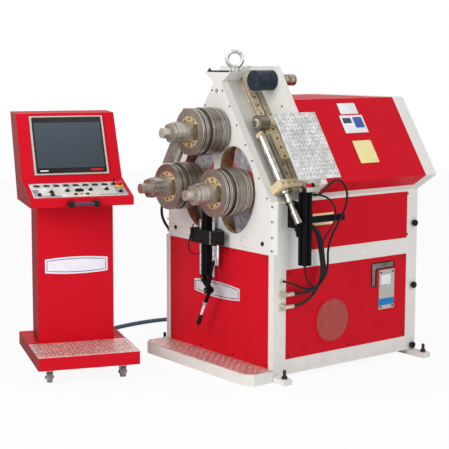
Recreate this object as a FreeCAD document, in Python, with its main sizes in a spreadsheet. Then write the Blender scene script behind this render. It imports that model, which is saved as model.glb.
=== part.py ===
import FreeCAD, Part
import Sketcher
import math
import os
import re

# Three-roll angle bending machine with its control console.
# Millimetres: +X to the right seen from the front, +Y to the back, +Z up.
# The origin lies on the floor at the middle of the front plate's face.

document = FreeCAD.newDocument("AngleBender")

# Driving dimensions, each with its alias, value and meaning.
SIZES = [
    # Cabinet
    ("body_half", 440, "half the cabinet's width"),
    ("body_depth", 974, "front face to rear face"),
    ("base_clear", 27, "height of the cabinet's underside"),
    ("deck_top", 618, "top of the base cabinet"),
    ("shoulder_rise", 254, "shoulder of the front plate above the deck"),
    ("flank_rise", 564.5, "neck above the shoulder"),
    ("head_rise", 38.5, "flat top of the head above the neck"),
    ("rear_rise", 29, "top of the rear plate above the head"),
    ("pivot_rise", 30, "swing pivots above the shoulder"),
    ("top_roll_rise", 284, "top roll above the swing pivots"),
    ("ridge_rise", 84, "widest line of the hood above the shoulder"),
    ("lip_drop", 56, "hood cover's lower lip below the widest line"),
    ("hood_rise", 387, "hood's flat top above its widest line"),
    ("sheet", 4, "thickness of the red sheet panels"),
    ("sheet_proud", 1.5, "how far a sheet panel stands out of its recess"),
    ("front_panel_half", 402, "half the front panel's width"),
    ("front_panel_low", 60, "lower edge of the front panel"),
    ("side_border", 77, "frame left bare at either end of a side panel"),
    ("side_panel_low", 102, "lower edge of a side panel"),
    ("panel_gap", 6, "frame left bare above the front panel"),
    ("side_panel_gap", 79, "frame left bare above a side panel"),
    ("upper_panel_gap", 4, "upper side panel above the deck"),
    ("upper_panel_drop", 10, "upper side panel below the shoulder"),
    ("upper_panel_front", 234, "front edge of an upper side panel"),
    ("vent_y", 381, "depth of the round vent's centre"),
    ("vent_z", 257, "height of the round vent's centre"),
    ("vent_radius", 117, "radius of the round vent grille"),
    ("vent_thick", 3, "thickness of the vent grille"),
    ("slot_width", 36, "width of the side panel's angled cut-out"),
    ("slot_across", 164, "length of the angled cut-out's upper arm"),
    ("slot_setback", 252, "angled cut-out's front edge before the panel's back edge"),
    ("plate_inset", 55, "connection plate behind the cut-out's front edge"),
    ("slot_low", 388, "lower edge of the angled cut-out"),
    ("slot_rise", 125, "height of the angled cut-out"),
    ("slot_deep", 70, "depth of the recess behind the cut-out"),
    ("plate_low", 267, "lower edge of the connection plate"),
    ("plate_rise", 204, "height of the connection plate"),
    ("plate_thick", 3, "thickness of the connection plate"),
    # Feet and step
    ("front_foot_half", 521, "half the length of the front foot bar"),
    ("rear_foot_half", 550, "half the length of the rear foot bar"),
    ("foot_width", 50, "width of a foot bar"),
    ("bolt_inset", 26, "levelling bolt's distance from the bar's end"),
    ("bolt_radius", 8, "radius of a levelling bolt"),
    ("bolt_height", 42, "how far a levelling bolt stands above its bar"),
    ("nut_radius", 14, "radius across the corners of a levelling nut"),
    ("nut_height", 13, "height of a levelling nut"),
    ("step_depth", 150, "how far the step reaches forward"),
    ("step_height", 56, "height of the step under its tread"),
    ("step_gap", 1, "gap between the step and the cabinet"),
    ("step_chamfer", 35, "cut-off corner of the step"),
    ("tread_thick", 4, "thickness of the tread sheet"),
    # Front plate and roll housing
    ("head_half", 103, "half the width of the head"),
    ("neck_half", 49.5, "half the width of the neck under the head"),
    ("front_thick", 30, "thickness of the front plate"),
    ("front_chamfer", 22, "chamfer along the front plate's slopes"),
    ("head_back", 99, "back of the overhanging head"),
    ("housing_back", 189, "back of the roll housing"),
    ("chamber_back", 95, "back wall of the swing chamber"),
    ("chamber_radius", 252, "radius of the swing chamber about a pivot"),
    # Swing arms
    ("pivot_half", 54, "pivot's distance from the middle"),
    ("swing_radius", 133, "pivot to roll axis"),
    ("slot_half_width", 110, "half the width of a kidney slot"),
    ("slot_half_angle", 52, "half the angle of a kidney slot"),
    ("arm_gap", 5, "gap between swing plates and walls"),
    ("arm_thick", 25, "thickness of a swing plate"),
    ("arm_radius", 245, "outer radius of a swing plate"),
    ("arm_half_angle", 76, "half the angle of a swing plate"),
    ("boss_radius", 46, "radius of the boss round the pivot pin"),
    ("pin_radius", 25, "radius of a pivot pin"),
    ("nose_radius", 84, "radius of the arm's nose in the slot"),
    ("nose_front", 6, "how far the nose stands before the front face"),
    ("running_gap", 0.05, "radial clearance of shafts and pins"),
    ("overcut", 1, "how far a cut passes its piece"),
    # Shafts and rolls
    ("shaft_radius", 30, "radius of a shaft's journal"),
    ("sleeve_radius", 50, "radius of the spacer sleeve"),
    ("nut_ring_radius", 44, "radius of the slotted shaft nut"),
    ("stub_radius", 25, "radius of the shaft's end"),
    ("stub_front", 336, "front end of a shaft"),
    ("nut_ring_front", 290, "front of the shaft nut"),
    ("sleeve_front", 272, "front of the spacer sleeve"),
    ("top_shaft_back", 150, "back end of the top shaft"),
    ("roll_front", 174, "front face of a roll stack"),
    ("flange_back", 160, "back of the front flange"),
    ("ring_front", 151, "front of the narrow ring"),
    ("ring_back", 137, "back of the narrow ring"),
    ("drum_front", 113, "front of the wide roll"),
    ("drum_back", 46, "back of the wide roll"),
    ("last_front", 39, "front of the last ring"),
    ("roll_back", 15, "back face of a roll stack"),
    ("roll_radius", 118, "radius of the wide roll"),
    ("ring_radius", 115, "radius of the rings"),
    ("groove_radius", 104, "radius in the grooves"),
    ("recess_outer", 78, "outer radius of the face recess"),
    ("recess_deep", 8, "depth of the face recess"),
    # Rear plate and hood
    ("rear_top_half", 214, "half the rear plate's width at its top"),
    ("ridge_reach", 127, "hood's widest line out from the cabinet"),
    ("hood_proud", 2, "hood's slope out from the rear plate's"),
    ("rear_plate_back", 222, "back of the rear plate"),
    # Top drive and lifting eye
    ("motor_radius", 50, "radius of the drive's round housing"),
    ("motor_inset", 24, "drive's axis in from the corner of the rear plate"),
    ("motor_drop", 68, "drive's axis below the rear plate's top"),
    ("motor_front", 75, "front of the drive's round housing"),
    ("tube_radius", 28, "radius of the tube behind the rear plate"),
    ("tube_back", 330, "back end of the tube"),
    ("eye_y", 110, "depth of the lifting eye"),
    ("eye_ring_radius", 38.5, "middle radius of the eye's ring"),
    ("eye_wire_radius", 9.5, "radius of the eye's bar"),
    ("collar_radius", 24, "radius of the eye's collar"),
    ("collar_height", 20, "height of the eye's collar"),
    # Side guides, in the slope's own frame
    ("rail_front", 100, "front edge of a guide rail"),
    ("rail_back", 140, "back edge of a guide rail"),
    ("rail_top", -12, "upper end of a guide rail, down the slope from the neck"),
    ("rail_end", 606, "lower end of a guide rail"),
    ("rail_thick", 30, "height of a guide rail above the slope"),
    ("rail_groove", 8, "width and depth of the rail's running grooves"),
    ("scale_front", 154, "front edge of the scale bar"),
    ("scale_back", 178, "back edge of the scale bar"),
    ("scale_top", -40, "upper end of the scale bar"),
    ("scale_thick", 26, "height of the scale bar above the slope"),
    ("slide_gap", 0.5, "clearance under a slide"),
    ("slide_front", 98, "front edge of a slide"),
    ("slide_back", 150, "back edge of a slide"),
    ("slide_top", 250, "upper end of a slide"),
    ("slide_end", 488, "lower end of a slide"),
    ("slide_thick", 27, "thickness of a slide"),
    ("ram_y", 60, "depth of a ram's axis"),
    ("ram_off", 37, "ram axis's distance from the slope"),
    ("ram_radius", 32, "outer radius of a ram barrel"),
    ("ram_bore", 21, "inner radius of a ram barrel"),
    ("ram_top", 356, "upper end of a ram barrel"),
    ("gland_length", 14, "length of the gland at the barrel's mouth"),
    ("rod_radius", 14, "radius of a piston rod"),
    ("rod_end", 590, "lower end of a piston rod"),
    ("lug_top", 331, "upper face of the slide's lug"),
    ("lug_thick", 18, "thickness of the slide's lug"),
    ("lug_half", 20, "half the lug's reach round the rod"),
    ("lug_gap", 8, "lug's clearance in front of the rail"),
    ("hub_lift", 3, "how far the axle's hub stands before the slide"),
    ("flange_top", 610, "upper face of the ram's flange block"),
    ("flange_end", 650, "lower face of the ram's flange block"),
    ("flange_front", 8, "front edge of the flange block"),
    ("flange_side", 145, "back edge of the flange block"),
    ("flange_high", 78, "height of the flange block above the slope"),
    ("fitting_collar", 30, "radius of the collar below the flange"),
    ("fitting_neck", 18, "radius of the fitting's neck and ferrule"),
    ("fitting_hex", 24, "radius of the fitting's nut"),
    ("fitting_waist", 14, "radius between nut and ferrule"),
    ("collar_long", 18, "length of that collar"),
    ("neck_long", 34, "length of the neck"),
    ("hex_long", 16, "length of the nut"),
    ("waist_long", 44, "length of the waist"),
    ("ferrule_long", 68, "length of the ferrule"),
    ("guide_s", 288, "guide roll's axis, down the slope"),
    ("guide_off", 60, "guide roll's axis, out from the slope"),
    ("guide_radius", 37.5, "radius of a guide roll"),
    ("guide_front", 36, "front face of a guide roll"),
    ("guide_back", 92, "back face of a guide roll"),
    ("axle_radius", 15, "radius of a guide roll's axle"),
    ("axle_cap_radius", 22, "radius of the axle's cap"),
    ("axle_cap", 8, "thickness of the axle's cap"),
    ("axle_gap", 0.5, "end clearance of a guide roll"),
    ("tread_front", 53, "front edge of a flank tread cover"),
    ("tread_back", 320, "back edge of a flank tread cover"),
    ("tread_drop", 60, "tread cover's upper edge below the hood's top"),
    ("tread_rise", 24, "tread cover's lower edge above the ridge"),
    # Hose post
    ("bracket_front", 84, "front face of the hose post's bracket"),
    ("bracket_back", 124, "back face of the hose post's bracket"),
    ("bracket_reach", 77, "how far the bracket stands out of the flank"),
    ("bracket_rise", 127, "hose bracket above the deck"),
    ("bracket_tall", 123, "height of the hose bracket"),
    ("post_drop", 46, "foot of the hose post below the deck"),
    ("post_tall", 350, "height of the hose post"),
    ("arm_rise", 154, "underside of the hose arm above the deck"),
    ("arm_tall", 28, "height of the hose arm"),
    ("arm_inset", 8, "hose arm in from the post's inner face"),
    ("post_side", 45, "side of the hose post's square section"),
    ("post_groove", 9, "width and depth of the post's grooves"),
    ("arm_end", 348, "back end of the hose arm"),
    # Hose fittings
    ("port_y", 53, "depth of the oil ports on the side wall"),
    ("port_high", 424, "height of the upper oil port"),
    ("port_low", 364, "height of the lower oil port"),
    ("port_boss_radius", 22, "radius of a port's round boss"),
    ("port_boss_thick", 8, "thickness of a port's boss"),
    ("port_reach", 32, "port elbow's distance from the wall"),
    ("elbow_radius", 10, "radius of a port's elbow"),
    ("elbow_length", 52, "length of a port's elbow along the wall"),
    ("plug_y", 46, "depth of the sensor plug"),
    ("plug_height", 490, "height of the sensor plug"),
    ("plug_reach", 17, "how far the sensor plug stands out"),
    ("plug_radius", 8, "radius of the sensor plug"),
    ("hose_radius", 7.5, "radius of the oil hoses"),
    ("cable_radius", 5.5, "radius of the looped cable"),
    ("thin_radius", 4.5, "radius of the thin cable"),
    ("conduit_radius", 12, "radius of the console's conduit"),
    ("bulkhead_radius", 10, "radius of the hose ends on the bracket"),
    ("bulkhead_off", 37, "first hose end out from the flank"),
    ("bulkhead_apart", 23, "distance between the two hose ends"),
    ("bulkhead_length", 14, "length of those ends"),
    ("bulkhead_height", 757, "height of those ends"),
    ("valve_front", 147, "front face of the valve block"),
    ("valve_off", 30, "valve block out from the flank"),
    ("valve_width", 60, "width of the valve block"),
    ("valve_low", 895, "underside of the valve block"),
    ("valve_high", 945, "top of the valve block"),
    ("valve_cap_radius", 16, "radius of the valve's red cap"),
    ("valve_cap_length", 22, "length of the valve's red cap"),
    ("outlet_apart", 11, "cable outlets of the valve block, from its middle"),
    ("outlet_rise", 9, "cable outlets above the valve block's underside"),
    ("outlet_radius", 8, "radius of a cable outlet"),
    ("outlet_length", 10, "length of a cable outlet"),
    ("gland_radius", 19, "radius of a conduit gland"),
    ("gland_reach", 26, "length of a conduit gland"),
    ("gland_y", 600, "depth of the conduit gland on the cabinet"),
    ("gland_height", 62, "height of the conduit gland on the cabinet"),
    ("console_gland_u", 150, "conduit gland's place across the console base"),
    ("console_gland_height", 110, "height of the conduit gland on the console"),
    # Front probe
    ("probe_half", 105, "half the probe block's width"),
    ("probe_reach", 91, "front face of the probe block"),
    ("probe_back", 35, "back face of the probe block"),
    ("probe_rise", 9, "probe block above the deck"),
    ("probe_tall", 70, "height of the probe block"),
    ("probe_leg_half", 40, "half the width of the block's wall foot"),
    ("probe_rod_half", 52, "probe rod's distance from the middle"),
    ("probe_rod_radius", 7, "radius of a probe rod"),
    ("probe_rod_low", 465, "lower end of the probe rods"),
    ("probe_rod_high", 742, "upper end of the probe rods"),
    ("probe_axis", 62, "probe rods' distance before the front face"),
    ("profile_half", 19, "half the width of the sliding profile"),
    ("profile_gap", 0.4, "clearance round the sliding profile"),
    ("profile_low", 463, "lower end of the sliding profile"),
    ("profile_high", 800, "upper end of the sliding profile"),
    ("profile_groove", 8, "width and depth of the profile's grooves"),
    # Console
    ("console_x", -65, "console origin, at the middle of its front edge"),
    ("console_y", -712, "console origin, before the machine's front"),
    ("console_angle", 70.41, "console's turn about the vertical, degrees"),
    ("stand_half", 246, "half the console base's width"),
    ("stand_depth", 594, "depth of the console base"),
    ("stand_low", 79, "underside of the console base"),
    ("stand_high", 142, "top of the console base"),
    ("column_half", 191, "half the console column's width"),
    ("column_front", 318, "front face of the column"),
    ("column_back", 483, "back face of the column"),
    ("stand_tread", 275, "depth of the tread sheet on the base"),
    ("desk_half", 252, "half the console head's width"),
    ("desk_front", 127, "front edge of the desk"),
    ("desk_low", 838, "underside of the console head"),
    ("desk_lip", 878, "top of the desk's front lip"),
    ("desk_knee", 374, "where desk and screen slopes meet"),
    ("desk_knee_high", 950, "height of that meeting line"),
    ("head_front", 552, "front edge of the head's top"),
    ("head_front_high", 1266, "height of that edge"),
    ("console_back", 725, "back of the console head"),
    ("console_top", 1271, "top of the console head"),
    ("head_low_back", 533, "back edge of the head's underside"),
    ("frame_half", 187, "half the screen frame's width"),
    ("frame_thick", 10, "thickness of the screen frame"),
    ("frame_start", 18, "screen frame's lower edge, up the slope"),
    ("frame_end", 342, "screen frame's upper edge, up the slope"),
    ("frame_border", 20, "width of the frame round the screen"),
    ("screen_deep", 5, "depth of the screen behind its frame"),
    ("keys_half", 231, "half the button plate's width"),
    ("keys_start", 18, "button plate's lower edge, up the desk"),
    ("keys_end", 248, "button plate's upper edge, up the desk"),
    ("keys_thick", 3, "thickness of the button plate"),
    ("handle_half", 70, "half the length of the console handle"),
    ("handle_reach", 42, "how far the handle stands forward"),
    ("handle_radius", 8, "radius of the handle bar"),
    ("handle_height", 855, "height of the handle"),
    # Castors
    ("castor_inset", 66, "castor's distance from the base's edges"),
    ("castor_plate", 32, "half the side of a castor's top plate"),
    ("castor_plate_thick", 4, "thickness of a castor's plates"),
    ("swivel_radius", 18, "radius of the swivel bearing"),
    ("swivel_height", 8, "height of the swivel bearing"),
    ("castor_trail", 20, "wheel axle's distance behind the swivel"),
    ("wheel_radius", 27, "radius of a castor wheel"),
    ("wheel_half", 11, "half the width of a castor wheel"),
    ("fork_gap", 2, "gap between fork and wheel"),
    ("swivel_gap", 0.3, "gap above a castor's bearing"),
    ("crown_reach", 8, "how far a castor's crown reaches back"),
    ("fork_thick", 3, "thickness of a fork's cheek"),
    ("fork_radius", 11, "radius of a fork's cheek round the axle"),
    ("wheel_pin", 5, "radius of a castor's axle"),
]

# Sizes that follow from others, each with its alias, formula and meaning
LEVELS = [
    ("shoulder_height", "deck_top + shoulder_rise", "shoulder of the front plate"),
    ("neck_height", "shoulder_height + flank_rise", "neck of the front plate"),
    ("head_top", "neck_height + head_rise", "flat top of the head"),
    ("rear_top", "head_top + rear_rise", "top of the rear plate"),
    ("pivot_height", "shoulder_height + pivot_rise", "axes of the swing pivots"),
    ("top_roll_height", "pivot_height + top_roll_rise", "axis of the top roll"),
    ("ridge_height", "shoulder_height + ridge_rise", "widest line of the hood"),
    ("lip_height", "ridge_height - lip_drop", "lower lip of the hood cover"),
    ("hood_top", "ridge_height + hood_rise", "flat top of the hood"),
    ("motor_x", "rear_top_half - motor_inset", "drive's axis from the middle"),
    ("motor_height", "rear_top - motor_drop", "drive's axis"),
    ("front_panel_high", "deck_top - panel_gap", "upper edge of the front panel"),
    ("side_panel_high", "deck_top - side_panel_gap", "upper edge of a side panel"),
    ("side_panel_back", "body_depth - side_border", "back edge of a side panel"),
    ("upper_panel_low", "deck_top + upper_panel_gap", "lower edge of an upper panel"),
    ("upper_panel_high", "shoulder_height - upper_panel_drop", "upper edge of an upper panel"),
    ("slot_front", "side_panel_back - slot_setback", "front edge of the angled cut-out"),
    ("plate_front", "slot_front + plate_inset", "front edge of the connection plate"),
    ("post_half", "body_half + bracket_reach", "hose post's inner face"),
    ("ridge_half", "body_half + ridge_reach", "half the hood's greatest width"),
    ("hood_top_half", "rear_top_half + hood_proud + (ridge_half - rear_top_half)"
     " * (rear_top - hood_top) / (rear_top - ridge_height)", "half the hood's flat top"),
    ("valve_inner", "body_half + valve_off", "inner face of the valve block"),
    ("valve_outer", "valve_inner + valve_width", "outer face of the valve block"),
    ("bulkhead_inner", "body_half + bulkhead_off", "inner hose end on the bracket"),
    ("bulkhead_outer", "bulkhead_inner + bulkhead_apart", "outer hose end on the bracket"),
    ("slot_back", "slot_front + slot_across", "back end of the angled cut-out"),
    ("slot_high", "slot_low + slot_rise", "top of the angled cut-out"),
    ("plate_high", "plate_low + plate_rise", "top of the connection plate"),
    ("tread_top", "hood_top - tread_drop", "upper edge of a tread cover"),
    ("tread_low", "ridge_height + tread_rise", "lower edge of a tread cover"),
    ("bracket_low", "deck_top + bracket_rise", "underside of the hose bracket"),
    ("bracket_high", "bracket_low + bracket_tall", "top of the hose bracket"),
    ("post_low", "deck_top - post_drop", "foot of the hose post"),
    ("post_high", "post_low + post_tall", "top of the hose post"),
    ("arm_low", "deck_top + arm_rise", "underside of the hose arm"),
    ("arm_high", "arm_low + arm_tall", "top of the hose arm"),
    ("probe_low", "deck_top + probe_rise", "underside of the probe block"),
    ("probe_high", "probe_low + probe_tall", "top of the probe block"),
]

sheet = document.addObject("Spreadsheet::Sheet", "Sizes")
for row, (alias, value, meaning) in enumerate(SIZES, start=1):
    sheet.set(f"A{row}", meaning)
    sheet.set(f"B{row}", str(value))
    sheet.setAlias(f"B{row}", alias)
for row, (alias, formula, meaning) in enumerate(LEVELS, start=len(SIZES) + 1):
    sheet.set(f"A{row}", meaning)
    sheet.set(f"B{row}", f"={formula}")
    sheet.setAlias(f"B{row}", alias)
document.recompute()

ALIASES = {alias for alias, value, meaning in SIZES + LEVELS}
SLOPE = "atan((body_half - neck_half) / (neck_height - shoulder_height))"
parts = {}
HALF_TURN = 180
FULL_TURN = 360


# Helpers

def in_sheet(formula):
    """Point each alias in a formula at its cell."""
    return re.sub(r"[a-z_]+", lambda word: f"Sizes.{word[0]}" if word[0] in ALIASES else word[0],
                  str(formula))


def bind(item, **formulas):
    """Tie properties of an object to the sheet."""
    for name, formula in formulas.items():
        item.setExpression(name.replace("__", "."), in_sheet(formula))


def place(item, x="0", y="0", z="0"):
    bind(item, Placement__Base__x=x, Placement__Base__y=y, Placement__Base__z=z)
    return item


def turn(item, axis, formula):
    """Turn an object about one axis by an angle from the sheet."""
    item.Placement = FreeCAD.Placement(FreeCAD.Vector(), FreeCAD.Rotation(FreeCAD.Vector(*axis), 10))
    bind(item, Placement__Rotation__Angle=formula)
    return item


def box(x, y, z, length, width, height):
    item = document.addObject("Part::Box", "Block")
    bind(item, Length=length, Width=width, Height=height)
    return place(item, x, y, z)


def span(low, high):
    """Lower end and length between two formulas."""
    return low, f"({high}) - ({low})"


def block(xs, ys, zs):
    """A box between pairs of limits."""
    (x, length), (y, width), (z, height) = span(*xs), span(*ys), span(*zs)
    return box(x, y, z, length, width, height)


AXIS_TURNS = {"x": ((0, 1, 0), 90), "y": ((1, 0, 0), -90), "z": ((0, 0, 1), 0)}


def rod(axis, x, y, z, radius, length):
    """A cylinder that starts at a point and runs along an axis."""
    item = document.addObject("Part::Cylinder", "Rod")
    direction, angle = AXIS_TURNS[axis]
    item.Placement = FreeCAD.Placement(FreeCAD.Vector(), FreeCAD.Rotation(FreeCAD.Vector(*direction), angle))
    bind(item, Radius=radius, Height=length)
    return place(item, x, y, z)


def join(*pieces):
    item = document.addObject("Part::MultiFuse", "Join")
    item.Shapes = list(pieces)
    item.Refine = True
    return item


def group(*pieces):
    """Solids kept as one sub-part without joining them."""
    item = document.addObject("Part::Compound", "Group")
    item.Links = list(pieces)
    return item


def less(base, *tools):
    item = document.addObject("Part::Cut", "Less")
    item.Base = base
    item.Tool = tools[0] if len(tools) == 1 else join(*tools)
    return item


def name(item, label):
    """Register a finished sub-part under its own label."""
    item.Label = label
    parts[label] = item
    return item


def body(label):
    item = document.addObject("PartDesign::Body", "Body")
    return name(item, label)


def sketch(owner, role, offset="0"):
    """An empty sketch on one of the body's origin planes."""
    item = owner.newObject("Sketcher::SketchObject", "Sketch")
    plane = next(feature for feature in owner.Origin.OriginFeatures if feature.Role == role)
    item.AttachmentSupport = [(plane, "")]
    item.MapMode = "FlatFace"
    item.setExpression(".AttachmentOffset.Base.z", in_sheet(offset))
    return item


def fix(item, kind, geometry, point, formula):
    """Place a point from the sketch's origin by the sheet."""
    value = evaluate(item, formula)
    index = item.addConstraint(Sketcher.Constraint(kind, -1, 1, geometry, point, value))
    item.setExpression(f"Constraints[{index}]", in_sheet(formula))


def evaluate(item, formula):
    """The present value of a formula."""
    value = item.evalExpression(in_sheet(formula))
    return float(getattr(value, "Value", value))


def outline(item, points):
    """A closed polygon whose corners follow the sheet."""
    places = [FreeCAD.Vector(evaluate(item, x), evaluate(item, y), 0) for x, y in points]
    count = len(points)
    first = item.GeometryCount
    for index in range(count):
        item.addGeometry(Part.LineSegment(places[index], places[(index + 1) % count]))
    for index in range(count):
        item.addConstraint(Sketcher.Constraint("Coincident", first + index, 2, first + (index + 1) % count, 1))
    for index, (x, y) in enumerate(points):
        fix(item, "DistanceX", first + index, 1, x)
        fix(item, "DistanceY", first + index, 1, y)
    return item


def ring(item, x, y, radius):
    """A circle whose centre and radius follow the sheet."""
    centre = FreeCAD.Vector(evaluate(item, x), evaluate(item, y), 0)
    size = evaluate(item, radius)
    index = item.addGeometry(Part.Circle(centre, FreeCAD.Vector(0, 0, 1), size))
    fix(item, "DistanceX", index, 3, x)
    fix(item, "DistanceY", index, 3, y)
    bound = item.addConstraint(Sketcher.Constraint("Radius", index, size))
    item.setExpression(f"Constraints[{bound}]", in_sheet(radius))
    return item


def pad(owner, profile, length, backward=True):
    """Raise a profile, towards +Y from the XZ plane when backward is set."""
    item = owner.newObject("PartDesign::Pad", "Pad")
    item.Profile = profile
    item.Reversed = backward
    bind(item, Length=length)
    return item


def pocket(owner, profile, length, flipped=False):
    """Cut a profile out of the body and make sure that it removed something."""
    document.recompute()
    before = owner.Shape.Volume
    item = owner.newObject("PartDesign::Pocket", "Pocket")
    item.Profile = profile
    item.Reversed = flipped
    bind(item, Length=length)
    document.recompute()
    if owner.Shape.Volume >= before:
        raise RuntimeError(f"a pocket of {owner.Label} cuts nothing")
    return item


def mirror_points(points):
    """Right-hand outline points, top to bottom, closed by their mirror images."""
    return points + [(f"-({x})", z) for x, z in reversed(points)]


def loose(item):
    """A primitive keeps its own place inside a group that can be moved as a whole."""
    return group(item) if item.TypeId in ("Part::Box", "Part::Cylinder") else item


def on_slope(item, side):
    """Put a piece from the slope's frame on the right (1) or left (-1) flank."""
    item = turn(loose(item), (0, 1, 0), f"{-side} * {SLOPE}")
    return place(item, f"{side} * neck_half", "0", "neck_height")


def out(side, low, high):
    """Limits measured outward from the slope, for either flank."""
    return (low, high) if side > 0 else (f"-({high})", f"-({low})")


def down(high, low):
    """Limits measured down the slope from the neck."""
    return f"-({low})", f"-({high})"


# Base cabinet with recessed sheet panels

def make_base_cabinet():
    cabinet = block(("-body_half", "body_half"), ("0", "body_depth"), ("base_clear", "deck_top"))
    seat = "sheet - sheet_proud"
    front = block(("-front_panel_half", "front_panel_half"), ("-overcut", seat), ("front_panel_low", "front_panel_high"))
    rear = block(("-front_panel_half", "front_panel_half"), (f"body_depth - ({seat})", "body_depth + overcut"),
                 ("front_panel_low", "front_panel_high"))
    sides = [block(limits, ("side_border", "side_panel_back"), ("side_panel_low", "side_panel_high"))
             for limits in ((f"body_half - ({seat})", "body_half + overcut"), ("-body_half - overcut", f"-body_half + {seat}"))]
    upright = block(("body_half - slot_deep", "body_half + overcut"), ("slot_front", "slot_front + slot_width"),
                    ("slot_low", "slot_high"))
    across = block(("body_half - slot_deep", "body_half + overcut"), ("slot_front", "slot_back"),
                   ("slot_high - slot_width", "slot_high"))
    name(less(cabinet, front, rear, *sides, upright, across), "base_cabinet")


def make_panels():
    half, low, high = "front_panel_half", "front_panel_low", "front_panel_high"
    front = block((f"-{half}", half), ("-sheet_proud", "sheet - sheet_proud"), (low, high))
    rear = block((f"-{half}", half), ("body_depth - sheet + sheet_proud", "body_depth + sheet_proud"), (low, high))
    lowers = []
    for side in (1, -1):
        inner, outer = "body_half - sheet + sheet_proud", "body_half + sheet_proud"
        xs = (inner, outer) if side > 0 else (f"-({outer})", f"-({inner})")
        panel = block(xs, ("side_border", "side_panel_back"), ("side_panel_low", "side_panel_high"))
        if side > 0:
            upright = block((inner + " - overcut", outer + " + overcut"), ("slot_front", "slot_front + slot_width"),
                            ("slot_low", "slot_high"))
            across = block((inner + " - overcut", outer + " + overcut"), ("slot_front", "slot_back"),
                           ("slot_high - slot_width", "slot_high"))
            panel = less(panel, upright, across)
        lowers.append(panel)
    uppers = []
    for side in (1, -1):
        inner, outer = "body_half", "body_half + sheet_proud"
        xs = (inner, outer) if side > 0 else (f"-({outer})", f"-({inner})")
        uppers.append(block(xs, ("upper_panel_front", "side_panel_back"), ("upper_panel_low", "upper_panel_high")))
    name(group(front, rear, *lowers, *uppers), "cabinet_panels")


def make_side_fittings():
    face = "body_half + sheet_proud"
    name(rod("x", face, "vent_y", "vent_z", "vent_radius", "vent_thick"), "vent_grille")
    plate = block((face, f"{face} + plate_thick"), ("plate_front", "slot_back"), ("plate_low", "plate_high"))
    name(plate, "connection_plate")


def make_feet():
    front = block(("-front_foot_half", "front_foot_half"), ("0", "foot_width"), ("0", "base_clear"))
    rear = block(("-rear_foot_half", "rear_foot_half"), ("body_depth - foot_width", "body_depth"),
                 ("0", "base_clear"))
    feet = []
    for bar, half, y in ((front, "front_foot_half", "foot_width / 2"),
                         (rear, "rear_foot_half", "body_depth - foot_width / 2")):
        pieces = [bar]
        for side in (1, -1):
            x = f"{side} * ({half} - bolt_inset)"
            pieces.append(rod("z", x, y, "base_clear", "bolt_radius", "bolt_height"))
            pieces.append(rod("z", x, y, "base_clear", "nut_radius", "nut_height"))
        feet.append(join(*pieces))
    name(group(*feet), "foot_bars")


def make_step():
    corners = [("body_half", "-step_gap"), ("body_half", "-step_depth + step_chamfer"),
               ("body_half - step_chamfer", "-step_depth")]
    step = body("front_step")
    pad(step, outline(sketch(step, "XY_Plane"), mirror_points(corners)), "step_height", backward=False)
    tread = document.addObject("PartDesign::Body", "Body")
    pad(tread, outline(sketch(tread, "XY_Plane", "step_height"), mirror_points(corners)), "tread_thick", False)
    return tread


# Front plate and roll housing

HEAD = [("head_half", "head_top"), ("neck_half", "neck_height")]
FLANK = [("body_half", "shoulder_height"), ("body_half", "deck_top")]
BEHIND_HEAD = ("neck_half - (head_top - neck_height) * (body_half - neck_half) / (neck_height - shoulder_height)",
               "head_top")


def kidney(item, side):
    """One kidney slot: two arcs about the pivot joined by two round ends."""
    pivot = FreeCAD.Vector(evaluate(item, f"{side} * pivot_half"), evaluate(item, "pivot_height"), 0)
    reach, half = evaluate(item, "swing_radius"), evaluate(item, "slot_half_width")
    angle = evaluate(item, "slot_half_angle")
    middle = 0 if side > 0 else HALF_TURN
    up = FreeCAD.Vector(0, 0, 1)

    def around(centre, radius, degrees):
        spin = FreeCAD.Rotation(up, degrees)
        return centre + spin.multVec(FreeCAD.Vector(radius, 0, 0))

    def arc(centre, radius, start, end):
        circle = Part.Circle(centre, up, radius)
        radians = FreeCAD.Units.Quantity("1 deg").getValueAs("rad").Value
        return item.addGeometry(Part.ArcOfCircle(circle, start * radians, end * radians))

    low, high = middle - angle, middle + angle
    ends = [around(pivot, reach, low), around(pivot, reach, high)]
    outer = arc(pivot, reach + half, low, high)
    cap_high = arc(ends[1], half, high, high + HALF_TURN)
    inner = arc(pivot, reach - half, low, high)
    cap_low = arc(ends[0], half, low + HALF_TURN, low + FULL_TURN)
    for first, first_end, second, second_end in ((outer, 2, cap_high, 1), (cap_high, 2, inner, 2),
                                                 (inner, 1, cap_low, 1), (cap_low, 2, outer, 1)):
        item.addConstraint(Sketcher.Constraint("Tangent", first, first_end, second, second_end))
    item.addConstraint(Sketcher.Constraint("Coincident", outer, 3, inner, 3))
    fix(item, "DistanceX", outer, 3, f"{side} * pivot_half")
    fix(item, "DistanceY", outer, 3, "pivot_height")
    fix(item, "DistanceX", cap_high, 3, f"{side} * (pivot_half + swing_radius * cos(slot_half_angle))")
    for cap, direction in ((cap_high, side), (cap_low, -side)):
        fix(item, "DistanceY", cap, 3, f"pivot_height + {direction} * swing_radius * sin(slot_half_angle)")
    bound = item.addConstraint(Sketcher.Constraint("Radius", cap_high, half))
    item.setExpression(f"Constraints[{bound}]", in_sheet("slot_half_width"))
    return item


def make_front_plate():
    plate = body("front_plate")
    raised = pad(plate, outline(sketch(plate, "XZ_Plane"), mirror_points(HEAD + FLANK)), "front_thick")
    document.recompute()
    edges = slope_edges(plate)
    chamfer = plate.newObject("PartDesign::Chamfer", "Chamfer")
    chamfer.Base = (raised, edges)
    bind(chamfer, Size="front_chamfer")
    for side in (1, -1):
        pocket(plate, kidney(sketch(plate, "XZ_Plane"), side), "front_thick")
    bore = ring(sketch(plate, "XZ_Plane"), "0", "top_roll_height", "shaft_radius + running_gap")
    pocket(plate, bore, "front_thick")


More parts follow.
